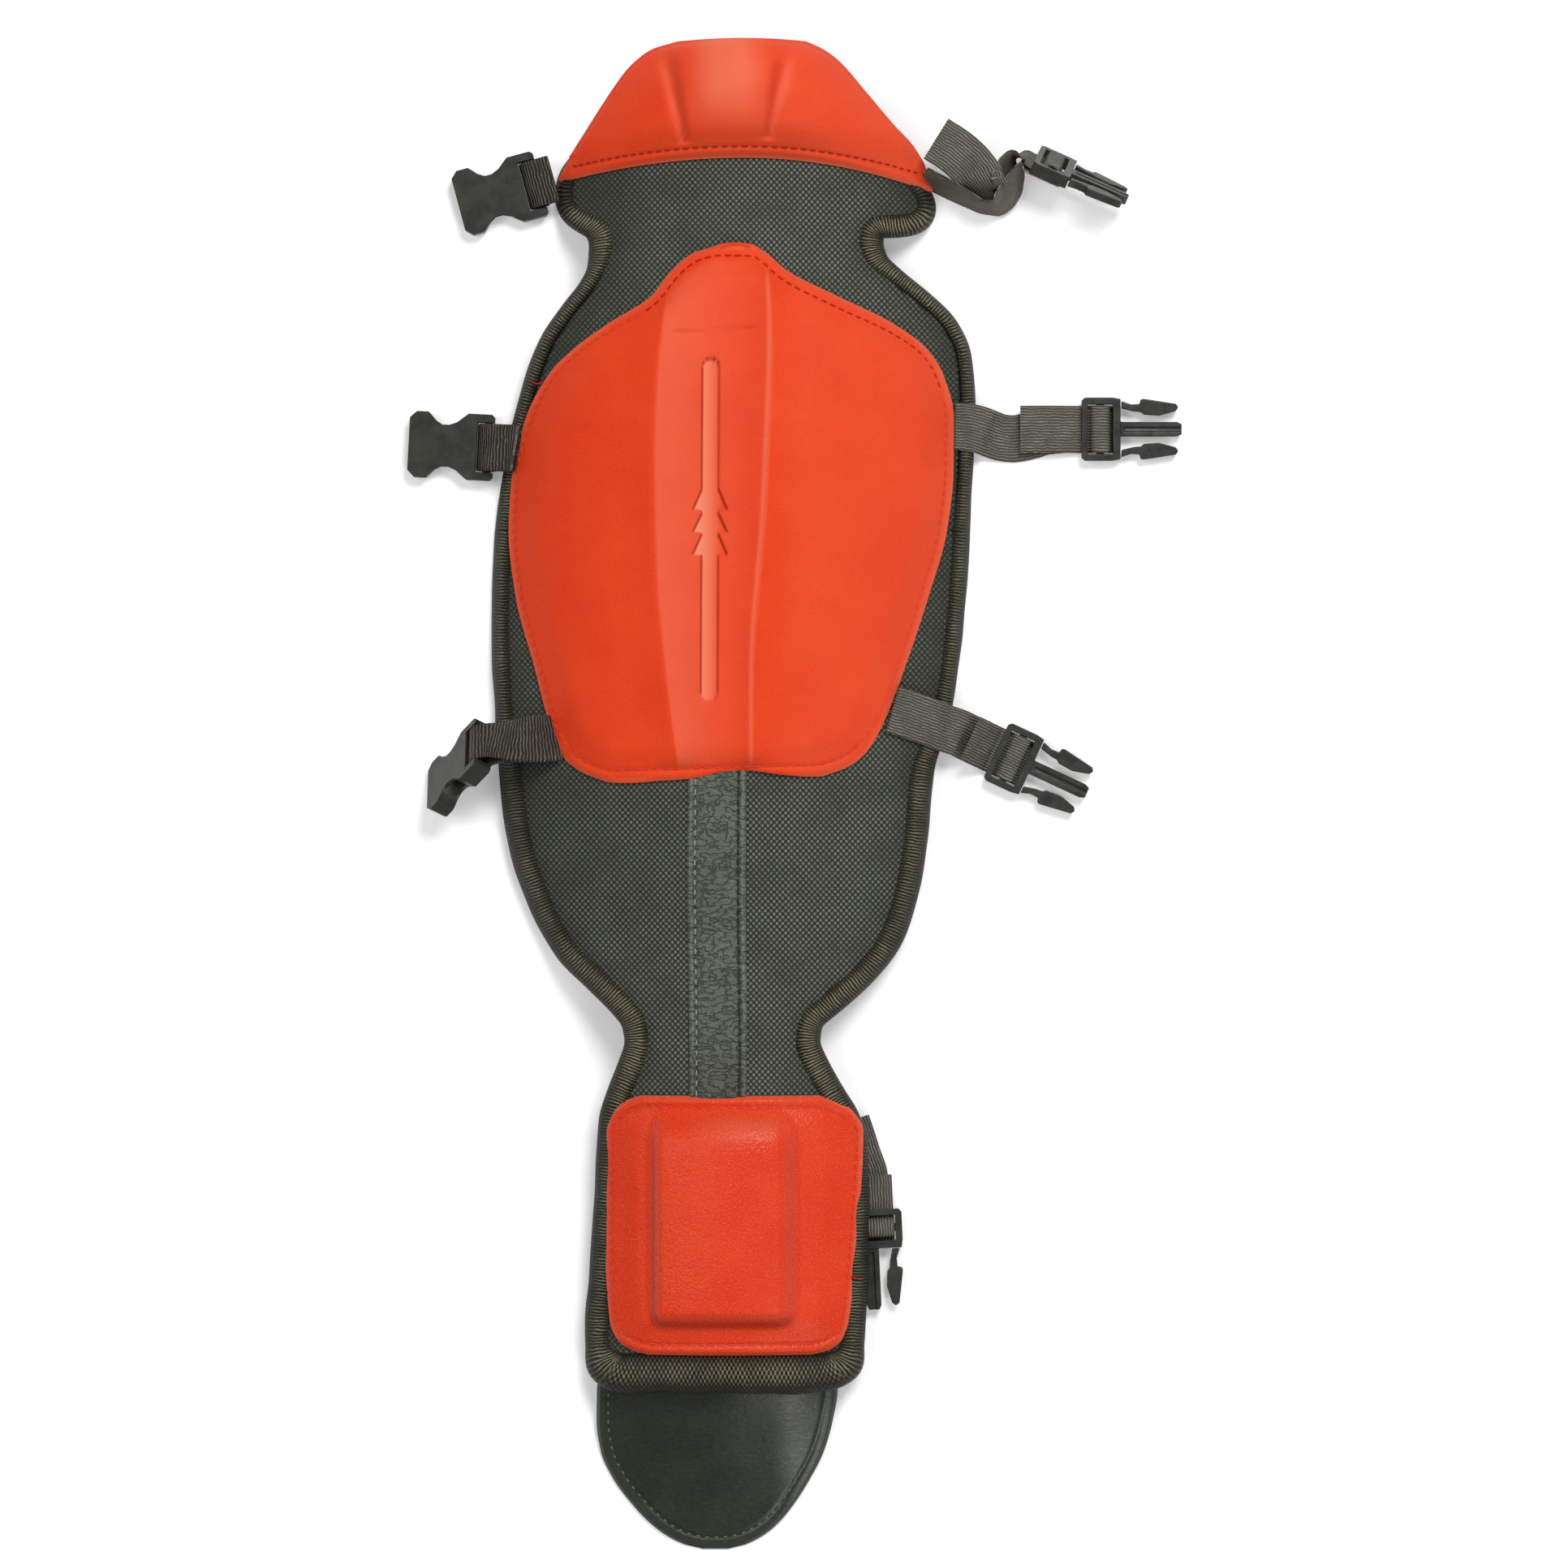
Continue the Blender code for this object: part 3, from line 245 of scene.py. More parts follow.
def insideOutline(x, y, outline):
    # a point is inside if a line to the right of it crosses the outline an odd number of times
    odd = np.zeros(np.shape(x), bool)
    for (ax, ay), (bx, by) in zip(outline, np.roll(outline, -1, 0)):
        if ay != by:
            odd ^= ((ay > y) != (by > y)) & (x < (bx - ax) * (y - ay) / (by - ay) + ax)
    return odd


# Finishes: every pattern runs on the piece's own flat map, which is in millimetres.

def startFinish(name, rough, specular):
    finish = bpy.data.materials.new(name)
    finish.use_nodes = True
    shader = finish.node_tree.nodes["Principled BSDF"]
    shader.inputs["Roughness"].default_value = rough
    shader.inputs["Specular IOR Level"].default_value = specular
    return finish, finish.node_tree, shader


def feed(socket, value):
    # links another node's output, or sets a plain value
    if isinstance(value, bpy.types.NodeSocket):
        socket.id_data.links.new(value, socket)
    else:
        socket.default_value = value


def node(tree, kind, inputs, out=0, **settings):
    made = tree.nodes.new("ShaderNode" + kind)
    for key, value in settings.items():
        setattr(made, key, value)
    for key, value in inputs.items():
        feed(made.inputs[key], value)
    return made.outputs[out]


def maths(operation, a, b=0.0):
    return node(a.id_data, "Math", {0: a, 1: b}, operation=operation)


def times(a, b):
    return maths("MULTIPLY", a, b)


def plus(a, b):
    return maths("ADD", a, b)


def sine(value, rate):
    return maths("SINE", times(value, rate))


def apart(a, b):
    return maths("ABSOLUTE", maths("SUBTRACT", a, b))


def swapped(amount, first, second):
    return plus(first, times(amount, maths("SUBTRACT", second, first)))


def flatMap(tree):
    return node(tree, "UVMap", {}, uv_map="flat")


def acrossAlong(vector):
    split = vector.id_data.nodes.new("ShaderNodeSeparateXYZ")
    feed(split.inputs[0], vector)
    return split.outputs[0], split.outputs[1]


def noise(vector, scale, detail=3.0, rough=0.55, stretch=None):
    if stretch:
        vector = node(vector.id_data, "Mapping", {0: vector, "Scale": stretch})
    inputs = {"Vector": vector, "Scale": scale, "Detail": detail, "Roughness": rough}
    return node(vector.id_data, "TexNoise", inputs, "Fac")


def pebbles(vector, scale):
    inputs = {"Vector": vector, "Scale": scale, "Smoothness": 0.6}
    return node(vector.id_data, "TexVoronoi", inputs, "Distance", feature="SMOOTH_F1")


def between(value, low, high, toLow=0.0, toHigh=1.0):
    inputs = {"Value": value, "From Min": low, "From Max": high, "To Min": toLow, "To Max": toHigh}
    return node(value.id_data, "MapRange", inputs)


def scaled(value, by, low, high, toLow, toHigh):
    return times(value, between(by, low, high, toLow, toHigh))


def tint(amount, first, second):
    first, second = [(*c, 1) if isinstance(c, tuple) else c for c in (first, second)]
    return node(amount.id_data, "Mix", {"Factor": amount, 6: first, 7: second}, 2, data_type="RGBA")


def toned(colour, by):
    return tuple(by * c for c in colour)


def bump(shader, height, depth):
    # depth in mm
    normal = node(height.id_data, "Bump", {"Height": height, "Distance": depth * mm, "Strength": 1.0})
    feed(shader.inputs["Normal"], normal)


def mark(tree, name):
    return node(tree, "Attribute", {}, "Fac", attribute_name=name)


def weaveFinish(name, pitch, dark, light, rough, depth):
    # sine across times sine along leaves raised dots in staggered rows, like a coarse basket weave
    finish, tree, shader = startFinish(name, rough, 0.2)
    vector = flatMap(tree)
    x, y = acrossAlong(vector)
    wobble = noise(vector, 0.05, 3)
    turn = 2 * math.pi / pitch
    dots = times(sine(x, turn), sine(y, turn * 0.92))
    yarn = noise(vector, 1.1, 4, 0.7)
    patch = scaled(between(dots, -0.15, 0.8), yarn, 0.25, 0.75, 0.10, 1.45)
    patch = scaled(patch, wobble, 0.3, 0.7, 0.65, 1.25)
    # painted shade: the cloth is darker where the shade mark is set and a little lighter where it is not
    patch = scaled(patch, mark(tree, "shade"), 0.0, 1.0, 1.08, 0.35)
    feed(shader.inputs["Base Color"], tint(patch, dark, light))
    bump(shader, plus(dots, times(yarn, 0.6)), depth)
    return finish


def ribFinish(name, pitch, dark, light, rough, depth, lengthwise=False, crown=None):
    # ribs across the tape (or along it): a sine broken up by the yarn's own noise
    finish, tree, shader = startFinish(name, rough, 0.25)
    vector = flatMap(tree)
    x, y = acrossAlong(vector)
    if lengthwise:
        x, y = y, x
    yarn = noise(vector, 1.6, 3, 0.6)
    sway = times(noise(vector, 0.22, 2), 1.6)
    ribs = sine(plus(y, sway), 2 * math.pi / pitch)
    worn = noise(vector, 0.07, 3, 0.6)
    patch = scaled(between(ribs, -0.6, 1.0), yarn, 0.3, 0.7, 0.35, 1.0)
    patch = scaled(patch, worn, 0.35, 0.65, 0.55, 1.25)
    if crown:
        # a folded tape gets a painted highlight along its crown, raised at the bends and the foot and lowered near the
        # top corner by a painted light mark, and shows its knit where it is rolled over
        off = apart(x, crown)
        patch = scaled(patch, off, 0.4, 3.6, 1.7, 0.35)
        patch = scaled(patch, mark(tree, "paintedLight"), 0.0, 1.0, 0.30, 1.75)
        knit = times(sine(x, 3.4), sine(y, 3.4))
        dots = scaled(between(knit, -0.2, 0.8), yarn, 0.3, 0.7, 0.1, 1.3)
        dots = scaled(dots, off, 0.6, 3.4, 1.9, 0.2)
        dots = scaled(dots, worn, 0.35, 0.65, 0.5, 1.6)
        rolled = mark(tree, "rolled")
        patch = swapped(rolled, patch, dots)
        ribs = swapped(rolled, ribs, knit)
    feed(shader.inputs["Base Color"], tint(patch, dark, light))
    bump(shader, plus(ribs, times(yarn, 0.8)), depth)
    return finish


def shellFinish(name, deep, pale, grain, depth, rough, shine, glints=0.0):
    # moulded plastic: mottled orange red with painted glints, paler on worn edges and under painted highlights, darker
    # with painted shade where it is sewn down, in grooves and on sides turned from the light, pebbled all over
    finish, tree, shader = startFinish(name, 0.5, shine)
    vector = flatMap(tree)
    cloud = noise(vector, 0.035, 4, 0.6)
    speck = noise(vector, 1.3, 2, 0.6)
    glintNoise = noise(vector, 2.1, 1, 0.5)
    base = tint(between(cloud, 0.3, 0.7), deep, pale)
    base = tint(between(speck, 0.45, 0.8, 0.0, 0.5), base, tuple(c + 0.03 for c in pale))
    # painted glints: pale dots standing for light sparkling on the pebbled grain
    base = tint(between(glintNoise, 0.60, 0.72, 0.0, glints), base, (0.90, 0.26, 0.13))
    # paler on worn edges and under painted highlights
    base = tint(mark(tree, "worn"), base, (0.84, 0.26, 0.15))
    # painted shade: dark red in seam channels, grooves and on sides turned from the light
    base = tint(mark(tree, "shade"), base, (0.36, 0.016, 0.008))
    feed(shader.inputs["Base Color"], base)
    feed(shader.inputs["Roughness"], between(cloud, 0.2, 0.8, rough - 0.06, rough + 0.08))
    height = plus(times(pebbles(vector, grain), -1.0), times(speck, 0.3))
    bump(shader, height, depth)
    return finish


def vinylFinish(name, dark, light, rough, grain, depth, wrinkled):
    # soft vinyl: pebbled leather grain over broad creases
    finish, tree, shader = startFinish(name, rough, 0.5)
    vector = flatMap(tree)
    cloud = noise(vector, 0.05, 4, 0.6)
    crease = noise(vector, 0.4 * grain, 5, 0.65, stretch=(0.7, 1.5, 1))
    both = plus(times(cloud, 0.5), times(crease, 0.5))
    fold = noise(vector, 0.24 * grain, 2, 0.5, stretch=(1, 1.7, 1))
    wrinkle = apart(fold, 0.5)
    base = tint(between(both, 0.34, 0.66), dark, light)
    # painted shade in the thin wrinkle valleys and a painted highlight beside them
    base = tint(between(wrinkle, 0.0, 0.025, 0.6 * wrinkled, 0.0), base, toned(dark, 0.3))
    base = tint(between(wrinkle, 0.03, 0.05, 0.0, 0.25 * wrinkled), base, toned(light, 1.3))
    # paler on worn edges and along painted highlights
    base = tint(mark(tree, "worn"), base, toned(light, 1.8))
    # painted shade along stitch channels and towards neighbouring pieces
    base = tint(mark(tree, "shade"), base, toned(dark, 0.15))
    feed(shader.inputs["Base Color"], base)
    feed(shader.inputs["Roughness"], between(crease, 0.3, 0.7, rough - 0.07, rough + 0.1))
    height = plus(times(pebbles(vector, grain), -0.5), times(crease, 1.6))
    height = plus(height, between(wrinkle, 0.0, 0.04, 0.0, 1.6 * wrinkled))
    bump(shader, height, depth)
    return finish


def plasticFinish(name, colour, rough):
    # black moulded nylon: faint flow marks and a slightly uneven shine
    finish, tree, shader = startFinish(name, rough, 0.3)
    place = node(tree, "TexCoord", {}, "Object")
    flow = noise(place, 160.0, 4, 0.6)
    fine = noise(place, 1500.0, 2, 0.5)
    feed(shader.inputs["Base Color"], tint(between(flow, 0.3, 0.7), colour, toned(colour, 1.7)))
    feed(shader.inputs["Roughness"], between(flow, 0.25, 0.75, rough - 0.08, rough + 0.12))
    bump(shader, plus(fine, flow), 0.05)
    return finish


def threadFinish(name, dark, light):
    # twisted thread: slanted lines along each stitch
    finish, tree, shader = startFinish(name, 0.7, 0.15)
    twist = sine(plus(*acrossAlong(flatMap(tree))), 7.0)
    feed(shader.inputs["Base Color"], tint(between(twist, -1, 1), dark, light))
    bump(shader, twist, 0.08)
    return finish


def foamFinish(name, dark, light):
    finish, tree, shader = startFinish(name, 0.95, 0.2)
    cells = pebbles(flatMap(tree), 0.9)
    feed(shader.inputs["Base Color"], tint(between(cells, 0.0, 0.8), dark, light))
    bump(shader, cells, 0.25)
    return finish


clothFinish = weaveFinish("dotted_cloth", 2.45, (0.025, 0.0275, 0.021), (0.208, 0.221, 0.181), 0.72, 0.16)
liningFinish = weaveFinish("lining_cloth", 1.6, (0.016, 0.016, 0.015), (0.075, 0.076, 0.070), 0.85, 0.12)
tapeFinish = ribFinish("binding_tape", 1.3, (0.008, 0.007, 0.004), (0.224, 0.206, 0.124), 0.52, 0.36, crown=5.0)
webFinish = ribFinish("tab_webbing", 1.35, (0.012, 0.011, 0.009), (0.185, 0.170, 0.142), 0.62, 0.25)
strapFinish = ribFinish("strap_webbing", 1.2, (0.062, 0.060, 0.048), (0.310, 0.305, 0.250), 0.66, 0.18, True)
redFinish = shellFinish("red_shell", (0.735, 0.043, 0.007), (0.79, 0.061, 0.012), 0.8, 0.08, 0.5, 0.09)
# the pebbled red gets painted glints
pebbleFinish = shellFinish("red_shell_pebbled", (0.685, 0.031, 0.003), (0.735, 0.044, 0.006), 1.0, 0.20, 0.36, 0.22,
                           glints=0.55)
stripFinish = vinylFinish("grained_vinyl", (0.074, 0.086, 0.063), (0.135, 0.156, 0.117), 0.38, 0.8, 1.1, 0.45)
flapFinish = vinylFinish("smooth_vinyl", (0.010, 0.0145, 0.0085), (0.023, 0.030, 0.019), 0.30, 1.3, 0.06, 0.0)
socketFinish = plasticFinish("black_nylon", (0.0165, 0.0170, 0.0125), 0.34)
# the plugs' nylon is a lighter copy of the sockets'
plugFinish = plasticFinish("lighter_black_nylon", (0.024, 0.025, 0.020), 0.28)
redThread = threadFinish("red_thread", (0.30, 0.012, 0.006), (0.54, 0.030, 0.012))
# a lit copy of the red thread: its pink is a painted highlight
litRedThread = threadFinish("lit_red_thread", (0.58, 0.026, 0.010), (0.92, 0.100, 0.052))
greyThread = threadFinish("grey_thread", (0.070, 0.075, 0.060), (0.240, 0.250, 0.210))
# a lit copy of the strip's black thread: its pale grey is a painted highlight
litStripThread = threadFinish("lit_strip_thread", (0.140, 0.145, 0.120), (0.420, 0.430, 0.370))
blackThread = threadFinish("black_thread", (0.010, 0.010, 0.008), (0.060, 0.060, 0.050))
cushionFinish = foamFinish("black_foam", (0.02, 0.02, 0.02), (0.06, 0.06, 0.055))
print("finishes ready")


sixRound = np.linspace(0, 2 * math.pi, 7)[:-1]


def stitches(name, path, up, finish, length=3.1, pitch=4.2, thick=0.42, proud=0.3):
    # short capsules laid along a path, each arched so that its ends go into the surface
    run = runAlong(path)
    at = np.arange(pitch / 2, run[-1] - pitch / 3, pitch)
    middle = straightAt(at, run, path)
    ahead = straightAt(at + 0.8, run, path) - straightAt(at - 0.8, run, path)
    lift = unit(straightAt(at, run, up))
    ahead = unit(ahead - lift * np.sum(ahead * lift, 1, keepdims=True))
    side = np.cross(lift, ahead)
    t = np.array([-1.0, -0.75, -0.3, 0.3, 0.75, 1.0])
    fat = np.array([0.45, 0.85, 1.0, 1.0, 0.85, 0.45]) * thick
    dip = proud - 0.75 * proud * t ** 2 - 0.6 * proud * t ** 6
    wide = fat[:, None] * np.cos(sixRound)[None]
    high = dip[:, None] + 0.8 * fat[:, None] * np.sin(sixRound)[None]
    points = middle[:, None, None] + ahead[:, None, None] * (t * length / 2)[None, :, None, None] \
        + side[:, None, None] * wide[None, :, :, None] + lift[:, None, None] * high[None, :, :, None]
    count, each = len(at), len(t) * 6
    quads = (ringQuads(len(t), 6)[None] + (np.arange(count) * each)[:, None, None]).reshape(-1, 4)
    caps = [range(k * each, k * each + 6) for k in range(count)]
    caps += [range((k + 1) * each - 6, (k + 1) * each) for k in range(count)]
    flat = pairs(sixRound[None, None] * 0.3, (t * length / 2)[None, :, None] + at[:, None, None])
    return putMesh(name, points, quads, finish, flat, caps)


def surfaceUp(height, x, y):
    # upward normal of a height function, from its slopes over half a millimetre
    dx = height(x + 0.5, y) - height(x - 0.5, y)
    dy = height(x, y + 0.5) - height(x, y - 0.5)
    return unit(np.stack([-dx, -dy, np.ones_like(dx)], -1))


def inset(outline, distance):
    # closed outline moved inwards; the outline runs anticlockwise seen from above
    path = settle(evenly(np.concatenate([outline, outline[:1]]), 1.0)[0][:-1], 5, closed=True)
    along = unit(settle(np.roll(path, -1, 0) - np.roll(path, 1, 0), 5, closed=True))
    moved = path + np.stack([-along[:, 1], along[:, 0]], 1) * distance
    return settle(moved, 5, closed=True)


def sidesAt(shape, y):
    return curveThrough(shape["left"], y), curveThrough(shape["right"], y)


# Plates: outlines, then one height function each

plateThick = 2.6

shin = dict(
    left=[(229.4, -5), (227, -13.3), (219.5, -22.5), (208.5, -31.5), (198.6, -48), (188.4, -63), (178, -74), (160, -84),
          (137, -90), (112, -91.6), (85, -88.6), (55, -80.5), (28, -73), (18, -68.5), (11.5, -60.5), (8, -50)],
    right=[(229.4, 13), (226.4, 17.3), (219.5, 25.5), (208.5, 48), (198.6, 69.5), (188.4, 84), (178, 91), (160, 95.6),
           (137, 95.4), (112, 92.6), (85, 85), (55, 75), (28, 64.5), (18, 58.6), (11.5, 50.5), (8, 40)],
    panelLeft=[(230, -4), (221, -23), (209, -25.5), (180, -29), (144, -30.7), (96, -29.7), (51, -25.6), (8, -19.5)],
    panelRight=[(230, 9), (221, 17.2), (199, 18.2), (124, 15.5), (50, 10.4), (8, 10.4)],
    foot=[(-60, 7.0), (-44, 6.2), (-15.6, 8.1), (-2.4, 10.5), (8.6, 11.6), (24, 9.8), (41.5, 8.7), (47, 8.9)],
    rise=3.0, slope=15.0, dish=0.6, grooveX=-6.2, grooveLean=0.7, grooveHalf=3.6, grooveTop=183.0, grooveFoot=39.5,
    grooveDepth=1.7, barbs=[(127.9, 8.2), (117.8, 7.5), (109.1, 8.2)], barbReach=3.6, seam=(1.7, 4.2), headY=194.0,
    leanRun=143.0, low=8.0, high=229.4)


def plateOutline(shape):
    # left edge down, foot across, right edge up: anticlockwise seen from above
    y = np.linspace(shape["high"], shape["low"], 260)
    left, right = sidesAt(shape, y)
    return np.concatenate([pairs(left, y), pairs(right, y)[::-1]])


def shinFoot(x, y):
    # the lower edge waves, and rows near it follow the foot line; the top edge is gently rounded
    crest = 1.4 * clamp(1 - ((x - 4.0) / 9.5) ** 2) * ease(y, 222, shin["high"])
    return y + (curveThrough(shin["foot"], x) - shin["low"]) * ease(-y, -50, -shin["low"]) + crest


def barbedGroove():
    # a slot with round ends and three pairs of barbs: each barb slants out going down and steps back in
    half, reach = shin["grooveHalf"], shin["barbReach"]
    low, high = shin["grooveFoot"] + half, shin["grooveTop"] - half
    right, slants = [(half, low)], []
    for top, drop in reversed(shin["barbs"]):
        right += [(half, top - drop - 0.7), (half + reach, top - drop), (half, top)]
        slants.append(((half + reach, top - drop), (half, top)))
    turn = np.linspace(0.08, 0.92, 9) * math.pi
    arc = [(half * math.cos(a), high + half * math.sin(a)) for a in turn]
    right += arc[:5]
    left = [(-x, y) for x, y in reversed(right[:-1])]
    foot = [(-half * math.cos(a), low - half * math.sin(a)) for a in turn]
    # the walls that get painted shade: dark on the left wall, the barbs and the top, faint on the right wall
    faint = [(right[0], right[1]), (slants[-1][1], (half, high))]
    dark = [((-ax, ay), (-bx, by)) for (ax, ay), (bx, by) in faint + slants] + slants + list(zip(arc, arc[1:]))
    return [lean(part) for part in (right + left + foot, dark, faint)]


def lean(points):
    # the slot leans a little to the left going down
    moved = np.array(points, float)
    moved[..., 0] += shin["grooveX"] - shin["grooveLean"] * (shin["grooveTop"] - moved[..., 1]) / shin["leanRun"]
    return moved


shinOutline = plateOutline(shin)
shinOutline[:, 1] = shinFoot(shinOutline[:, 0], shinOutline[:, 1])
grooveOutline, shadedWalls, faintlyShadedWalls = barbedGroove()


def seamIn(shape, depth):
    # how far the seam runs from the plate's edge
    return shape["seam"][0] + (shape["seam"][1] - shape["seam"][0]) * depth


def rimShape(d, seam):
    # rounded lip at the edge and the channel the stitches pull down, by distance from the outline
    lip = -1.1 * clamp(1 - d / 1.3) ** 2 + 0.25 * hump(d, 1.9, 0.9)
    return lip - 0.55 * hump(d, seam, 0.8)


def standOff(d):
    # the plate touches the cloth where it is sewn and stands off it further in
    return 0.5 + 2.5 * ease(d, 3.0, 14.0)


def panelLift(x, y):
    # between two creases the panel is a chord of the arch, slightly dished; outside them it falls back to the arch
    pl, pr = curveThrough(shin["panelLeft"], y), curveThrough(shin["panelRight"], y)
    t = clamp((x - pl) / (pr - pl))
    chord = faceHeight(pl, y) * (1 - t) + faceHeight(pr, y) * t - faceHeight(pl + (pr - pl) * t, y)
    beyond = np.maximum(np.maximum(pl - x, x - pr), 0)
    return shin["rise"] * clamp(1 - beyond / shin["slope"]) ** 1.6 + chord - shin["dish"] * 4 * t * (1 - t)


def shinTop(x, y, d):
    rim = rimShape(d, seamIn(shin, shinSeamDepth(x, y)))
    return faceHeight(x, y) + standOff(d) + plateThick + rim + panelLift(x, y) * ease(d, 2.5, 9.0)


def shinHeight(x, y):
    return shinTop(x, y, outlineDistance(x, y, shinOutline))


def spaced(*runs):
    # rows in runs of even spacing, each run as first, last and count
    return np.concatenate([np.linspace(*run) for run in runs])


def crowded(count, bend):
    # one row from -1 to 1, closer together towards both ends
    return np.sin(np.linspace(-1, 1, count) * bend)[None] / math.sin(bend)


def spreadAcross(edges, counts):
    # columns evenly between neighbouring edge lines
    columns = [a[:, None] + (b - a)[:, None] * np.linspace(0, 1, n + 1)[None, :-1]
               for a, b, n in zip(edges, edges[1:], counts)]
    return np.concatenate(columns + [edges[-1][:, None]], 1)


def buildShin():
    y = spaced((8, 14, 8), (15, 100, 58), (101, 131, 46), (132, 214, 56), (215, 229.4, 20))
    left, right = sidesAt(shin, y)
    pl = np.clip(curveThrough(shin["panelLeft"], y), left + 1.6, None)
    pr = np.clip(curveThrough(shin["panelRight"], y), None, right - 1.6)
    gl = np.maximum(shin["grooveX"] - 9.4, pl + 5.2 * ease(-y, -226, -214) + 0.6)
    gr = np.minimum(shin["grooveX"] + 9.4, pr - 3.6 * ease(-y, -226, -214) - 0.4)
    x = spreadAcross([left, pl, gl, gr, pr, right], [28, 8, 44, 9, 30])
    y = shinFoot(x, np.repeat(y[:, None], x.shape[1], 1))
    d = outlineDistance(x, y, shinOutline)
    top = shinTop(x, y, d)
    wall = outlineDistance(x, y, grooveOutline)
    sunk = ease(np.where(insideOutline(x, y, grooveOutline), wall, -wall), -0.25, 0.55)
    crease = hump(y, 195.6 + 0.05 * x, 0.5) * ease(x, -23, -21) * ease(-x, -13.5, -12)
    z = top - shin["grooveDepth"] * sunk - 0.35 * crease
    bottom = np.maximum(np.minimum(top - plateThick, z - 0.6), faceHeight(x, y) + 0.25)
    # painted shade along the groove's walls
    wallShade = 0.85 * hump(lineDistance(x, y, shadedWalls), 0, 0.42)
    wallShade += 0.30 * hump(lineDistance(x, y, faintlyShadedWalls), 0, 0.5)
    left, right = curveThrough(shin["panelLeft"], y), curveThrough(shin["panelRight"], y)
    across = clamp((x - left) / (right - left))
    onPanel = (x > left) * (x < right) * ease(d, 3, 8)
    fromLeft = x - lean(np.stack([np.full_like(x, -shin["grooveHalf"]), y], -1))[..., 0]
    # painted highlight: the groove floor paler on its left, and a pale line along the crease at the panel's right
    floorHighlight = clamp(0.72 - 0.09 * fromLeft) * sunk
    ridgeHighlight = hump(x, right, 0.8) * ease(d, 3, 8)
    # painted shade: the seam channel near the foot, the short crease, the far right of the panel and towards the left
    # side
    seam = 0.40 * hump(d, shin["seam"][1], 0.5) * ease(-y, -26, -12)
    farPanelShade = onPanel * ease(across, 0.7, 1.0)
    shade = clamp(wallShade + seam + 0.30 * crease + 0.10 * farPanelShade + 0.10 * ease(-x, 35, 80))
    # paler on worn edges, with painted highlights on the groove floor, the panel's left, the crease at its right and
    # the right side
    worn = clamp(0.18 * ease(-d, -1.4, -0.2) + floorHighlight + 0.24 * onPanel * (1 - across) + 0.30 * ridgeHighlight
                 + 0.06 * ease(x, 10, 40))
    piece = plate("shinShell", x, y, z, bottom, redFinish, dict(worn=worn, shade=shade))
    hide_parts("shin_shell")
    finishPiece(piece, "shin")


def finishPiece(piece, rideOn):
    if isinstance(rideOn, str):
        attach(piece, rideOn)
    else:
        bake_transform(piece)
    return piece


def seamPath(outline, seam, depth):
    # close to the edge where depth is 0 and further in where it is 1
    close, deep = inset(outline, seam[0]), inset(outline, seam[1])
    return close + (deep - close) * depth(close[:, 0], close[:, 1])[:, None]


def sewAlong(name, path, height, rideOn, slotName, finish, lift=0.0, up=None, **look):
    # stitches along a path seen from above, at a height function; up is the height that gives their slope
    z = height(*path.T) + lift
    piece = stitches(name, np.column_stack([path, z]), surfaceUp(up or height, *path.T), finish, **look)
    return finishPiece(piece, rideOn)


def shinSeamDepth(x, y):
    return clamp(0.36 * ease(x, -20, 40) + ease(-y, -32, -10) + 0.5 * ease(y, 185, 205))


def sewShin():
    # one red thread: plain along the head of the plate and a lit copy, pinker with painted highlight, round the rest of
    # it
    path = seamPath(shinOutline, shin["seam"], shinSeamDepth)
    head = path[:, 1] > shin["headY"] - 0.25 * path[:, 0]
    first = int(np.argmax(head & ~np.roll(head, 1)))
    path, head = np.roll(path, -first, 0), np.roll(head, -first)
    sewAlong("shinShellHeadThread", path[head], shinHeight, "shin", "shell", redThread, thick=0.36)
    sewAlong("shinShellThread", path[~head], shinHeight, "shin", "shell", litRedThread, thick=0.36)


buildShin()
sewShin()
print("shin plate done")

instep = dict(
    left=[(-127.4, -36), (-129.5, -42), (-134, -47.5), (-142, -50.2), (-192, -50.4), (-222, -48.6), (-229.5, -45.5),
          (-233.6, -40), (-235.4, -33)],
    right=[(-127.4, 39), (-129.5, 46), (-134, 53), (-142, 57.2), (-192, 54.2), (-222, 51), (-229.5, 48.4),
           (-233.6, 43.5), (-235.4, 36)],
    boxX=(-32.5, 31.0), boxY=(-225.0, -131.5), boxRuns=(5.4, 10.0, 8.0, 14.0), boxRise=8.0, seam=(1.7, 3.9),
    low=-235.4, high=-127.4)
instepOutline = plateOutline(instep)


def boxWall(x, y):
    # 0 at the foot of the raised box and 1 on its top; the left, right, lower and upper walls have their own runs
    left, right, lower, upper = instep["boxRuns"]
    across = clamp(np.minimum((x - instep["boxX"][0]) / left, (instep["boxX"][1] - x) / right))
    along = clamp(np.minimum((y - instep["boxY"][0]) / lower, (instep["boxY"][1] - y) / upper))
    return 1 - np.minimum(((1 - across) ** 1.6 + (1 - along) ** 1.6) ** 0.625, 1)


def instepTop(x, y, d):
    shoulder = np.sin(boxWall(x, y) * math.pi / 2) ** 1.3
    middleX, middleY = sum(instep["boxX"]) / 2, sum(instep["boxY"]) / 2
    crown = 1 - 0.08 * ((x - middleX) / 31.0) ** 2 - 0.08 * ((y - middleY) / 46.0) ** 2
    crowned = instep["boxRise"] * shoulder * np.clip(crown, 0.7, 1) * (0.66 + 0.34 * ease(-y, 131, 152))
    rim = rimShape(d, seamIn(instep, instepSeamDepth(x, y)))
    return faceHeight(x, y) + standOff(d) + plateThick + rim + crowned


def instepHeight(x, y):
    return instepTop(x, y, outlineDistance(x, y, instepOutline))


def instepSeamDepth(x, y):
    return np.maximum(ease(y, -140, -133), ease(-y, 224, 231))


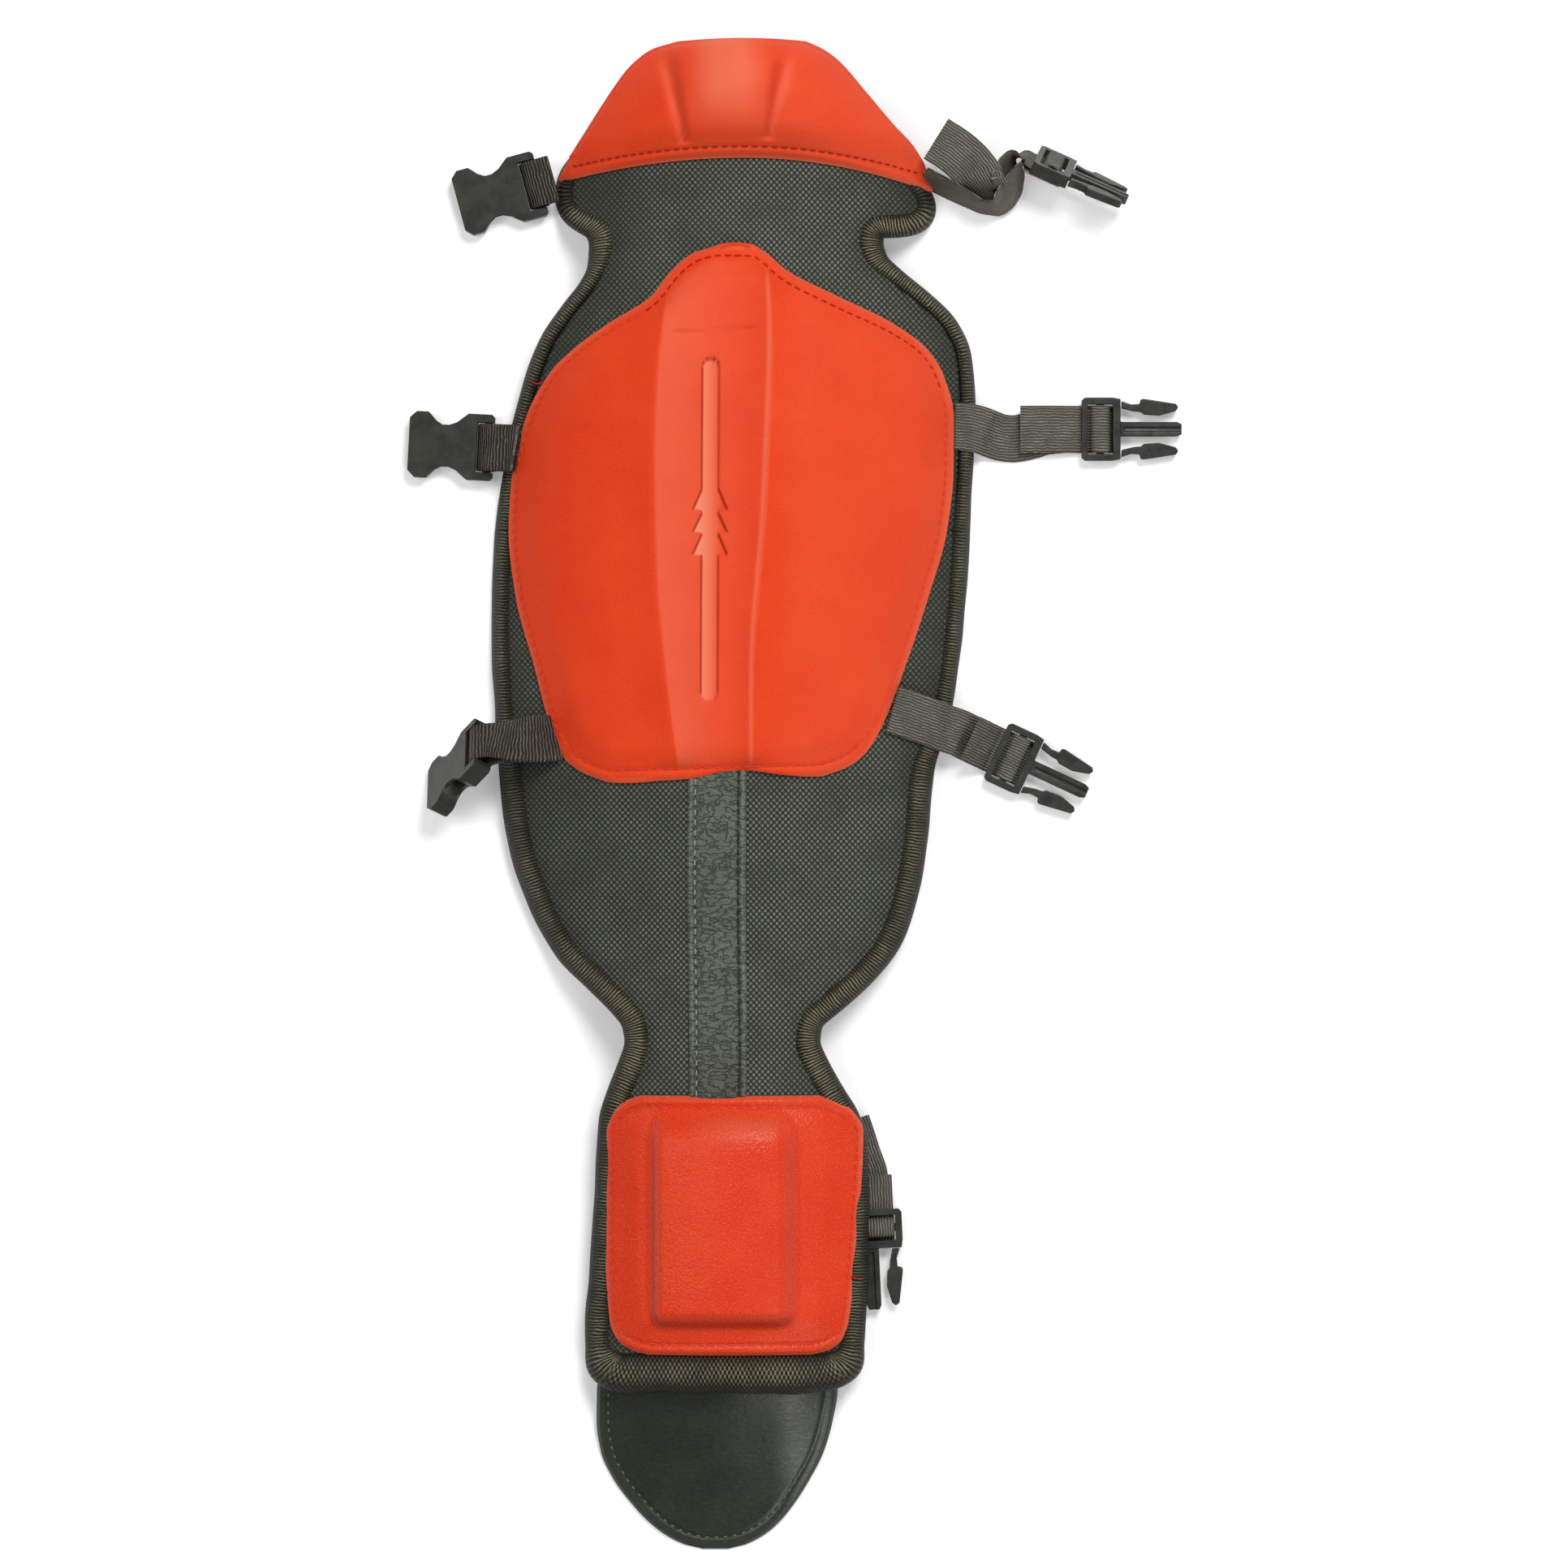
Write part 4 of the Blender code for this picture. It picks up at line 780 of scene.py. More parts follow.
def buildInstep():
    y = spaced((-235.4, -229, 14), (-228, -210, 20), (-209, -152, 34), (-151, -134, 22), (-133, -127.4, 12))
    left, right = sidesAt(instep, y)
    x = spreadAcross([left] + [np.full_like(y, line) for line in (-32.0, -20.0, 20.0, 32.0)] + [right],
                     [12, 12, 20, 12, 14])
    y = np.repeat(y[:, None], x.shape[1], 1)
    d = outlineDistance(x, y, instepOutline)
    top = instepTop(x, y, d)
    bottom = np.maximum(top - 2.8, faceHeight(x, y) + 0.25)
    boxX, boxY = instep["boxX"], instep["boxY"]
    inX = ease(x, boxX[0] - 0.5, boxX[0] + 3) * ease(-x, -boxX[1] - 0.5, -boxX[1] + 6)
    inY = ease(y, boxY[0] - 0.5, boxY[0] + 3) * ease(-y, -boxY[1] + 6, -boxY[1] + 22)
    # painted shade on the box's left, right and lower walls and towards the left side
    leftWall = hump(x, boxX[0] + 1.5, 1.3) * inY
    rightWall = hump(x, boxX[1] - 4.0, 3.0) * inY
    lowerWall = hump(y, boxY[0] + 2.2, 2.2) * inX
    seam = 0.30 * hump(d, instep["seam"][1], 0.5) * instepSeamDepth(x, y)
    shade = clamp(seam + 0.34 * leftWall + 0.16 * rightWall + 0.52 * lowerWall + 0.08 * ease(-x, 28, 40))
    # painted highlight on the box's upper wall; paler also on worn edges
    litUpperWall = hump(y, boxY[1] - 8.0, 4.0) * ease(x, -22, 8) * ease(-x, -27, -17)
    worn = clamp(0.18 * ease(-d, -1.4, -0.2) + 0.22 * litUpperWall)
    piece = plate("instepShell", x, y, top, bottom, pebbleFinish, dict(worn=worn, shade=shade))
    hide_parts("instep_shell")
    finishPiece(piece, "instep")


buildInstep()
sewAlong("instepShellThread", seamPath(instepOutline, instep["seam"], instepSeamDepth), instepHeight, "instep",
         "shell", litRedThread, thick=0.36)
print("instep plate done")

cap = dict(footY=268.5, leftSag=7.8, rightSag=11.8, topY=316.0, middleX=7.9, run=48.0, sewIn=3.7,
           bulge=[(0.0, 0.0), (0.1, 5.0), (0.25, 10.0), (0.45, 14.0), (0.65, 16.0), (0.82, 15.5), (0.94, 13.5),
                  (1.0, 11.5)],
           leftHalf=[(0.0, 78.8), (0.08, 76.2), (0.2, 71.3), (0.33, 66.1), (0.5, 59.7), (0.66, 53.7), (0.78, 48.9),
                     (0.86, 44.6), (0.94, 38.6), (1.0, 28.0)],
           rightHalf=[(0.0, 79.0), (0.08, 77.4), (0.16, 74.6), (0.27, 69.6), (0.385, 62.2), (0.608, 50.4), (0.86, 38.0),
                      (0.94, 32.2), (1.0, 25.4)],
           flutes=[((-24.6, 307.6), (-17.2, 273.5), -1), ((24.6, 306.0), (17.6, 275.0), 1)],
           fluteWide=3.0, fluteDeep=2.3)


def capPlace(v, u):
    half = np.where(u > 0, curveThrough(cap["rightHalf"], v), curveThrough(cap["leftHalf"], v))
    sag = np.where(u > 0, cap["rightSag"], cap["leftSag"])
    y = cap["footY"] + (cap["topY"] - cap["footY"]) * v - sag * (1 - v) ** 2 * u * u
    return cap["middleX"] + half * u, y


def capRise(v, u):
    return curveThrough(cap["bulge"], v) * (1 - u * u)


def fluteDepth(x, y):
    # each flute is a valley round a straight line, wide at the top with a round foot; the wall nearer the middle of
    # the cap gets painted shade, the outer wall a painted highlight
    depth, dark, light = np.zeros((3, *x.shape))
    for (ax, ay), (bx, by), inner in cap["flutes"]:
        length = math.hypot(bx - ax, by - ay)
        t = ((x - ax) * (bx - ax) + (y - ay) * (by - ay)) / length ** 2
        off = inner * ((x - ax) * (by - ay) - (y - ay) * (bx - ax)) / length
        wide = cap["fluteWide"] * (1.25 - 0.75 * clamp(t))
        along = ease(t, -0.25, 0.15) * ease(-t, -1.03, -0.96)
        depth += hump(off, 0, wide) * along
        dark += hump(off, 0.8 * wide, 0.7 * wide) * along
        light += hump(off, -0.6 * wide, 0.6 * wide) * along
    return depth, dark, light


capFlat = np.stack(capPlace(spaced((0, 0, 80), (0, 1, 60), (1, 1, 40), (1, 0, 60)),
                            spaced((-1, 1, 80), (1, 1, 60), (1, -1, 40), (-1, -1, 60))), 1)


def capSeam(v, u):
    # the thread lies half a millimetre down in its channel
    x, y = capPlace(v, u)
    z = faceHeight(x, y) + capRise(v, u) + plateThick + standOff(v * cap["run"]) - 0.5
    return np.column_stack([x, y, z])


def buildCap():
    v = spaced((0, 0.2, 18), (0.22, 0.86, 34), (0.88, 1, 10))[:, None]
    u = crowded(111, 1.45)
    x, y = capPlace(v, u)
    d = outlineDistance(x, y, capFlat)
    fromFoot = v * cap["run"] + 0 * u
    sewn = ease(-fromFoot, -9.0, -2.0)
    flute, dark, light = fluteDepth(x, y)
    dome = capRise(v, u)
    midPanel = ease(x, -18, -3) * ease(-x, -20, -5) * ease(v, 0.15, 0.6)
    z = faceHeight(x, y) + dome + plateThick + standOff(fromFoot)
    rim = rimShape(np.where(sewn > 0, d, 9.0), cap["sewIn"]) * ease(sewn, 0.0, 0.3)
    z = z + rim - cap["fluteDeep"] * flute + 0.5 * midPanel
    z = z - 1.0 * clamp(1 - d / 1.3) ** 2 * (sewn <= 0)
    bottom = np.maximum(z - 2.8, faceHeight(x, y) + dome * 0.94 + 0.3)
    # painted shade in the seam channel, on the inner flute walls and towards the left; paler on worn edges, with
    # painted highlights on the middle panel, the outer flute walls and the right side
    shade = clamp(0.12 * hump(d, cap["sewIn"], 0.6) * sewn + 0.30 * dark + 0.05 * ease(-x, 25, 60))
    worn = clamp(0.25 * ease(-d, -1.4, -0.2) * sewn + 0.34 * midPanel + 0.20 * light + 0.08 * ease(x, -35, -5))
    piece = plate("kneeCap", x, y, z, np.minimum(bottom, z - 0.6), redFinish, dict(worn=worn, shade=shade))
    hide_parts("knee_cap")
    finishPiece(piece, "knee")
    u = np.linspace(-0.965, 0.965, 200)
    v = np.full(200, 3.9 / (cap["topY"] - cap["footY"]))
    line = capSeam(v, u)
    up = unit(np.cross(np.gradient(line, axis=0), capSeam(v + 0.02, u) - line))
    finishPiece(stitches("kneeCapThread", line, up, redThread), "knee")


buildCap()
print("knee cap done")


# shares of the cap's width and length, and heights in mm
cushion = dict(reach=0.72, foot=0.2, top=0.7, lift=0.5, edgeThick=0.6, gap=0.2)


def buildCushion():
    # a foam lens behind the knee cap, thick in the middle and thin at its edge
    reach, foot, top = cushion["reach"], cushion["foot"], cushion["top"]
    v = np.linspace(foot, top, 22)[:, None]
    u = np.linspace(-reach, reach, 50)[None]
    x, y = capPlace(v, u)
    off = np.maximum(np.abs(u) / reach, np.abs(2 * v - foot - top) / (top - foot))
    low = faceHeight(x, y) + cushion["lift"]
    high = low + cushion["edgeThick"] + (capRise(v, u) - cushion["gap"]) * (0.35 + 0.65 * clamp(1 - off ** 6))
    piece = plate("kneeCushion", x, y, high, low, cushionFinish)
    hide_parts("knee_cushion")
    finishPiece(piece, "knee")


buildCushion()

loose = dict(
    shin=[(-77.5, 174.5, 2.6), (-79.8, 174.0, 4.0), (-82.0, 174.8, 4.4), (-83.4, 175.8, 3.8)],
    instep=[(53.0, -204.2, 2.4), (54.6, -204.0, 3.6), (56.2, -204.8, 3.4), (57.2, -204.2, 3.0)])


def buildLooseEnds():
    # two cut thread ends that stick out past the sewn rims
    cos, sin = np.cos(sixRound)[None, :, None], np.sin(sixRound)[None, :, None]
    for body, points in loose.items():
        at = np.linspace(0, len(points) - 1, 14)
        path = smoothAt(at, np.arange(len(points)), np.array(points))
        path[:, 2] += faceHeight(path[:, 0], path[:, 1])
        ahead = unit(np.gradient(path, axis=0))
        side = unit(np.cross(ahead, (0, 0, 1.0)))
        up = np.cross(side, ahead)
        fat = 0.42 * (1 - 0.4 * at / at[-1])[:, None, None]
        rings = path[:, None] + fat * (side[:, None] * cos + up[:, None] * sin)
        flat = pairs(sixRound[None] * 0.3, 2.0 * at[:, None])
        finishPiece(sweep("looseThread" + body.capitalize(), rings, redThread, flat), body)


buildLooseEnds()

# The padded body: cloth, foam and lining in one closed form, sewn down under the plates and the centre strip

pad = dict(edgeThick=7.6, middleThick=10.4, swell=1.3, columns=46, frames=20,
           cloth=dict(quality=5, mass=0.3, tension_stiffness=12, compression_stiffness=12, bending_stiffness=1.5,
                      use_pressure=True, uniform_pressure_force=4.0, vertex_group_mass="sewn"))


def bendBetween(first, second, start, end, height):
    # a bend across the guard, from one y to another, in metres
    x = centreX * mm
    return dict(first=first, second=second, start=(x, start, height), end=(x, end, height))


kneeBend = bendBetween("shin", "knee", 0.2245, 0.2425, 0.03)
ankleBend = bendBetween("shin", "instep", -0.094, -0.114, 0.03)
toeBend = bendBetween("instep", "toe", -0.2475, -0.2575, 0.02)
stripX = (-15.3, 8.0)


def padGrid(y):
    # columns closer together at the edges; thickness falls off towards them
    u = crowded(pad["columns"], 1.35)
    left, right = sidesAt(guard, y[:, None])
    x = (left + right) / 2 + (right - left) / 2 * u
    y = np.repeat(y[:, None], pad["columns"], 1)
    thick = pad["edgeThick"] + (pad["middleThick"] - pad["edgeThick"]) * (1 - u ** 4)
    z = faceHeight(x, y)
    return x, y, z, z - thick


def swell(piece, sewn):
    # cloth with air pressure inside: sewn points hold still, the rest fill out, at most pad["swell"] mm
    start = np.empty(len(piece.data.vertices) * 3)
    piece.data.vertices.foreach_get("co", start)
    group = piece.vertex_groups.new(name="sewn")
    group.add(np.flatnonzero(sewn).tolist(), 1.0, "REPLACE")
    cloth = piece.modifiers.new("swell", "CLOTH")
    for key, value in pad["cloth"].items():
        setattr(cloth.settings, key, value)
    cloth.settings.effector_weights.gravity = 0
    cloth.collision_settings.use_collision = False
    cloth.point_cache.frame_start = 1
    cloth.point_cache.frame_end = pad["frames"]
    for number in range(1, pad["frames"] + 1):
        scene.frame_set(number)
    done = piece.evaluated_get(bpy.context.evaluated_depsgraph_get()).to_mesh()
    moved = np.empty_like(start)
    done.vertices.foreach_get("co", moved)
    shift = (moved - start).reshape(-1, 3)
    far = np.linalg.norm(shift, axis=1, keepdims=True)
    limit = pad["swell"] * mm
    shift *= limit * np.tanh(far / limit) / np.maximum(far, 1e-9)
    piece.modifiers.remove(cloth)
    piece.vertex_groups.remove(group)
    piece.data.vertices.foreach_set("co", start + shift.ravel())
    piece.data.update()
    scene.frame_set(1)
    print(piece.name, "swelled by", round(float(np.abs(shift).max() / mm), 2), "mm")


def buildPad(name, y, bend, replaced):
    x, yy, top, bottom = padGrid(y)
    left, right = sidesAt(guard, y[:, None])
    side = np.minimum(x - left, right - x)
    # painted shade: darker at the sewn edge, on the left, under the knee cap's two ends, beside and below the shin
    # plate
    atKnee = ease(yy, 222, 245)
    shade = 0.55 * hump(side, 1.0, 7.0) + 0.34 * ease(-x, 25, 75) + 0.3 * ease(-yy, 226, 240)
    shade = shade + atKnee * (0.45 * ease(-x, -15, 30) + 0.18 * ease(-x, 30, 45) + 0.62 * ease(x, 52, 68))
    shade = shade + 0.40 * ease(x, 60, 78) * ease(yy, -8, 20) * (1 - ease(yy, 190, 215))
    shade = shade + 0.30 * ease(-x, 25, 45) * ease(yy, 165, 185) * (1 - atKnee)
    shade = clamp(shade + 0.25 * hump(yy, 4, 9) + 0.10 * ease(-x, 5, 25) * (1 - atKnee))
    piece = plate(name, x, yy, top, bottom, [clothFinish, liningFinish], dict(shade=shade), bulge=0.2)
    held = insideOutline(x, yy, shinOutline) | insideOutline(x, yy, instepOutline) | insideOutline(x, yy, capFlat)
    held |= (x > stripX[0] - 1.0) & (x < stripX[1] + 1.0) & (yy < 14) & (yy > -134)
    held[:, :3] = held[:, -3:] = held[:2] = held[-2:] = True
    rim = len(piece.data.vertices) - 2 * held.size
    swell(piece, np.concatenate([held.ravel(), held.ravel(), np.ones(rim, bool)]))
    smooth = piece.modifiers.new("smooth", "SUBSURF")
    smooth.levels = smooth.render_levels = 1
    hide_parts(*replaced)
    finishPiece(piece, bend)


upperRows = spaced((guard["split"], 226, 26), (228, 256, 34), (258, guard["top"], 13))
lowerRows = spaced((guard["bottom"], -228, 11), (-225, -116, 26), (-114, -84, 16), (-80, guard["split"], 44))
buildPad("padUpper", upperRows, kneeBend, ["knee_outer_cloth", "knee_foam", "knee_lining"])
buildPad("padLower", lowerRows, ankleBend, ["shin_outer_cloth", "shin_foam", "shin_lining", "instep_outer_cloth",
                                            "instep_foam", "instep_lining"])
print("padded body done")

# Folded tape round the whole edge: outward and up from the outer face, ribbed and slightly lumpy

tape = dict(section=[(-0.1, -0.6), (0.0, 0.35), (0.12, 1.0), (0.3, 1.75), (0.5, 1.95), (0.68, 1.5), (0.83, 0.5),
                     (0.94, -1.2), (1.0, -3.4), (0.95, -5.4), (0.8, -7.1), (0.5, -8.0), (0.2, -8.4), (-0.1, -8.4)],
            inner=0.4, outer=7.4, notchInner=-2.6, step=1.2, lump=0.3)


def tapeRings(edge):
    # wide and puffed in the notches and at the foot, narrow along the straight runs
    path, run = evenly(edge, tape["step"])
    path = settle(path, 5)
    travel = unit(settle(np.gradient(path, axis=0), 9))
    out = np.stack([-travel[:, 1], travel[:, 0]], 1)
    y = path[:, 1]
    notch = hump(y, 236, 14) + hump(y, -104, 30)
    foot = ease(-y, 232, 241)
    low = ease(-y, -40, 0)
    high = ease(y, 110, 140) * ease(-y, -226, -214)
    inner = tape["inner"] + (tape["notchInner"] - tape["inner"]) * clamp(notch + low) + 1.2 * high - 4.4 * foot
    lumps = np.sin(run / 7.3) * np.sin(run / 17.9 + 1.0) + 0.6 * np.sin(run / 3.7 + 2.0) * np.sin(run / 29.0)
    section = np.array(tape["section"])
    share, rise = section[None, :, 0], section[None, :, 1]
    across = (tape["outer"] + 1.8 * foot - inner)[:, None] * share
    reach = inner[:, None] + across * (1 + (0.02 + 0.02 * foot) * lumps)[:, None]
    upper = (rise > -2) * (share > 0.05)
    bends = hump(y, 238, 15) + 0.8 * hump(y, -104, 22) + 0.6 * (path[:, 0] > 0) * hump(y, 208, 14)
    # painted light: brighter at the bends and along the rolled foot, darker near the top corner
    paintedLight = clamp(0.38 + bends + 0.5 * foot - 0.9 * ease(y, 246, 251))[:, None] + 0 * rise
    rolled = (foot * ease(np.abs(travel[:, 0]), 0.7, 0.95))[:, None] + 0 * rise
    pinch = 0.32 * np.sin(run * 1.08 + np.sin(run / 5.0)) * clamp(bends)
    rise = rise + upper * (tape["lump"] * lumps + pinch + 0.5 * clamp(notch) + 2.4 * foot)[:, None]
    x, y = path[:, :1] + out[:, :1] * reach, path[:, 1:] + out[:, 1:] * reach
    z = np.maximum(faceHeight(x, y) + rise, floorGap)
    flat = pairs(runAlong(section * (8, 1))[None], run[:, None])
    return np.stack([x, y, z], -1), flat, path + out * (inner[:, None] + 1.2), dict(paintedLight=paintedLight, rolled=rolled)


def buildTape(name, edge, bend, replaced):
    rings, flat, line, marks = tapeRings(edge)
    piece = sweep(name, rings, tapeFinish, flat, marks)
    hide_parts(*replaced)
    finishPiece(piece, bend)
    sewAlong(name + "Thread", line, faceHeight, bend, "binding", blackThread, lift=1.4, length=2.4, pitch=3.4,
             thick=0.24, proud=0.15)


def edgePath(low, high, cross):
    # left edge upwards, over the end, right edge downwards (or the other way for the foot end)
    y = np.linspace(low, high, 500)
    left, right = sidesAt(guard, y)
    left, right = pairs(left, y), pairs(right, y)[::-1]
    return np.concatenate([left, right] if cross == "high" else [right, left])


buildTape("tapeUpper", edgePath(guard["split"], guard["top"], "high"), kneeBend, ["knee_binding"])
buildTape("tapeLower", edgePath(guard["bottom"], guard["split"], "low"), ankleBend,
          ["shin_binding_left", "shin_binding_right", "instep_binding"])
print("binding done")

# Vinyl strip over the ankle and the toe flap

strip = dict(high=15.0, low=-133.0, thick=1.5, lift=0.35, sewIn=2.6)


def stripSway(y):
    # the strip wanders a little from side to side
    return 0.35 * np.sin(y / 23.0)


def stripHeight(x, y):
    side = np.minimum(x - stripX[0], stripX[1] - x)
    puff = 0.5 * ease(side, 2.4, 6.0) - 0.3 * hump(side, strip["sewIn"], 0.7)
    crease = 0.18 * np.sin(y / 3.1 + 0.6 * np.sin(x / 4.0)) * ease(side, 3, 6)
    return faceHeight(x, y) + strip["lift"] + strip["thick"] + puff + crease - 0.5 * clamp(1 - side / 0.8) ** 2


def buildStrip():
    x = stripX[0] + (stripX[1] - stripX[0]) * np.linspace(0, 1, 47)[None]
    y = np.linspace(strip["low"], strip["high"], 150)[:, None]
    x, y = np.broadcast_arrays(x + stripSway(y), y)
    z = stripHeight(x, y)
    side = np.minimum(x - stripX[0], stripX[1] - x) - stripSway(y) * np.where(x < sum(stripX) / 2, 1, -1)
    # painted highlight: a pale line along each edge; painted shade along the stitch channels and towards the instep
    worn = 0.5 * hump(side, 0.7, 0.5)
    shade = clamp(0.75 * hump(side, strip["sewIn"], 0.55) + 0.3 * ease(-y, 95, 125))
    piece = plate("centreStrip", x, y, z, faceHeight(x, y) + 0.1, stripFinish, dict(worn=worn, shade=shade))
    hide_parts("centre_strip_shin", "centre_strip_instep")
    finishPiece(piece, ankleBend)
    # the left line is sewn with a lit copy of the right line's thread, paler with painted highlight
    for label, px, yarn in (("Left", stripX[0] + strip["sewIn"], litStripThread),
                            ("Right", stripX[1] - strip["sewIn"], blackThread)):
        py = np.linspace(strip["low"] + 1, strip["high"] - 1, 300)
        path = np.column_stack([px + stripSway(py), py])
        sewAlong("centreStripThread" + label, path, stripHeight, ankleBend, "vinyl", yarn, length=2.6,
                                pitch=4.3)


buildStrip()

flap = dict(left=[(-240, -50.0), (-251.8, -54.2), (-266, -54.4), (-279, -52.6), (-290, -47.6), (-301, -39.5),
                  (-311, -29.5), (-317.5, -18.5), (-319.6, -10)],
            right=[(-240, 45.0), (-251.8, 46.4), (-266, 44.2), (-279, 40.4), (-290, 34.8), (-301, 27.8), (-311, 19),
                   (-317.5, 8.5), (-319.6, 0.5)],
            crown=[(-319.6, 2.3), (-300, 5.5), (-280, 12.0), (-251.8, 21.4), (-240, 22.8)],
            radius=[(-319.6, 1200), (-300, 260), (-280, 130), (-251.8, 100), (-240, 100)],
            middle=-4.5, thick=1.8, low=-319.6, high=-240.0, sewIn=4.2)
flapOutline = plateOutline(flap)


def flapHeight(x, y):
    across = x - flap["middle"]
    plain = curveThrough(flap["crown"], y) - across ** 2 / (2 * curveThrough(flap["radius"], y))
    wave = 0.5 * np.sin(x / 15.0 + 0.7) * np.sin(y / 19.0) + 0.7 * hump(x, 25 + 0.1 * (y + 280), 10.0)
    return plain + wave * ease(y, -316, -290)


def flapTop(x, y):
    d = outlineDistance(x, y, flapOutline)
    top = flapHeight(x, y) - 0.45 * hump(d, flap["sewIn"], 0.8) - 0.5 * clamp(1 - d / 0.9) ** 2
    return np.maximum(top, flap["thick"] + 0.25)


def buildFlap():
    y = spaced((flap["low"], -312, 16), (-311, -252, 56), (-251, flap["high"], 10))
    left, right = sidesAt(flap, y[:, None])
    x = left + (right - left) * (0.5 + 0.5 * crowded(80, 1.4))
    y = np.repeat(y[:, None], x.shape[1], 1)
    z = flapTop(x, y)
    # paler towards the edge
    worn = 0.35 * ease(-outlineDistance(x, y, flapOutline), -5.0, -0.5)
    piece = plate("toeFlap", x, y, z, z - flap["thick"], flapFinish, dict(worn=worn))
    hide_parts("toe_flap")
    finishPiece(piece, toeBend)
    # the thread runs down the left side and up the right, below the seam of the flap
    path = inset(flapOutline, flap["sewIn"])
    path = path[path[:, 1] < -252]
    left = path[path[:, 0] < flap["middle"]]
    right = path[path[:, 0] >= flap["middle"]]
    path = np.concatenate([left[np.argsort(-left[:, 1])], right[np.argsort(right[:, 1])]])
    path = settle(evenly(path, 1.0)[0], 5)
    thread = sewAlong("toeFlapThread", path, flapTop, toeBend, "vinyl", greyThread, up=flapHeight, length=1.7,
                      pitch=3.9, thick=0.36, proud=0.26)


buildFlap()
print("vinyl pieces done")

# Webbing: 20 mm tape along smooth routes, and the buckles on it

web = dict(width=20.0, thick=1.4, lift=2.2, tabLift=5.2, loop=3.85, gap=0.5, barZ=4.5, plugZ=2.1)


def ribbon(name, path, side, body, replaced, finish, step=1.5):
    # a flat section with round edges carried along a route; side gives the direction of its width
    run = runAlong(path)
    at = np.linspace(0, run[-1], int(run[-1] / step) + 2)
    route = smoothAt(at, run, path)
    across = unit(straightAt(at, run, unit(side)))
    ahead = unit(np.gradient(route, axis=0))
    across = unit(across - ahead * np.sum(across * ahead, 1, keepdims=True))
    up = np.cross(ahead, across)
    half, thick = web["width"] / 2, web["thick"] / 2
    w = np.array([-half, -half + 0.25, -half + 0.9, -half / 2, 0, half / 2, half - 0.9, half - 0.25, half])
    h = np.array([0.0, 0.6, 0.95, 0.9, 0.9, 0.9, 0.95, 0.6, 0.0]) * thick
    w = np.concatenate([w, w[-2:0:-1]])
    h = np.concatenate([h, -h[-2:0:-1]])
    rings = route[:, None] + across[:, None] * w[None, :, None] + up[:, None] * h[None, :, None]
    rings[..., 2] = np.maximum(rings[..., 2], floorGap)
    piece = sweep(name, rings, finish, pairs(w[None], at[:, None]))
    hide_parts(*replaced)
    finishPiece(piece, body)


def planSides(path):
    travel = np.gradient(path, axis=0)
    return unit(np.stack([-travel[:, 1], travel[:, 0], 0 * travel[:, 0]], 1))


def lying(plan, onCloth, lift):
    # the first points lie on the highest cloth under the tape's width
    plan = np.array(plan, float)
    side = planSides(plan * (1, 1, 0))
    share = np.array([-0.5, -0.25, 0, 0.25, 0.5])[None, :, None] * web["width"]
    under = plan[:, None, :2] + side[:, None, :2] * share
    top = faceHeight(under[..., 0], under[..., 1]).max(1) + lift
    plan[:onCloth, 2] = top[:onCloth]
    return plan


def heading(yaw):
    return np.array([math.cos(math.radians(yaw)), math.sin(math.radians(yaw)), 0.0])


def turned(yaw, roll, pitch=0.0):
    a, b, c = math.radians(yaw), math.radians(roll), math.radians(pitch)
    aboutZ = np.array([[math.cos(a), -math.sin(a), 0], [math.sin(a), math.cos(a), 0], [0, 0, 1]])
    aboutY = np.array([[math.cos(c), 0, math.sin(c)], [0, 1, 0], [-math.sin(c), 0, math.cos(c)]])
    aboutX = np.array([[1, 0, 0], [0, math.cos(b), -math.sin(b)], [0, math.sin(b), math.cos(b)]])
    return aboutZ @ aboutY @ aboutX


buckle = dict(bevel=0.45, rounds=3, bevelAngle=40, sharp=30)


def mouldedCopy(node, name, body, finish):
    # the moulded piece with its edges rounded over
    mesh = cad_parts[node].data.copy()
    mesh.name = name
    mesh.materials.clear()
    mesh.materials.append(finish)
    piece = placeMesh(name, mesh, buckle["sharp"], clean=True)
    soft = piece.modifiers.new("soft", "BEVEL")
    soft.width = buckle["bevel"] * mm
    soft.segments = buckle["rounds"]
    soft.limit_method = "ANGLE"
    soft.angle_limit = math.radians(buckle["bevelAngle"])
    soft.harden_normals = True
    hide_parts(node)
    finishPiece(piece, body)


def labelOf(where):
    return "".join(word.capitalize() for word in where.split("_"))


tabs = dict(
    knee=dict(yaw=195.0, bar=(-81.5, 259.4, web["barZ"]), onCloth=0, root=None,
              route=[(-73.4, 261.6, 11.8), (-76.6, 260.7, 11.2), (-79.8, 259.9, 9.2)]),
    shin_upper=dict(yaw=177.0, bar=(-101.5, 147.6, web["barZ"]), onCloth=2, root=(-0.23, -0.97, 0),
                    route=[(-89.0, 146.9, 0), (-92.0, 147.1, 0), (-96.4, 147.3, 14.0), (-100.0, 147.5, 9.8)]),
    shin_lower=dict(yaw=225.0, pitch=35.0, roll=60.0, bar=(-104.0, 20.2, 29.6), onCloth=0, root=(0.4, -0.92, 0.16),
                    twist=(0, 0.18, 0.5, 0.85),
                    route=[(-71.4, 24.0, 31.8), (-79.5, 23.8, 35.4), (-86.0, 23.4, 35.4), (-92.5, 22.9, 33.6),
                           (-98.5, 21.8, 31.2)]),
    ankle=dict(yaw=0.0, bar=(-31.0, -150.0, web["barZ"]), onCloth=0, root=None,
               route=[(-45.0, -150, 9.5), (-41.0, -150, 7.4), (-36.5, -150, 5.4)]))


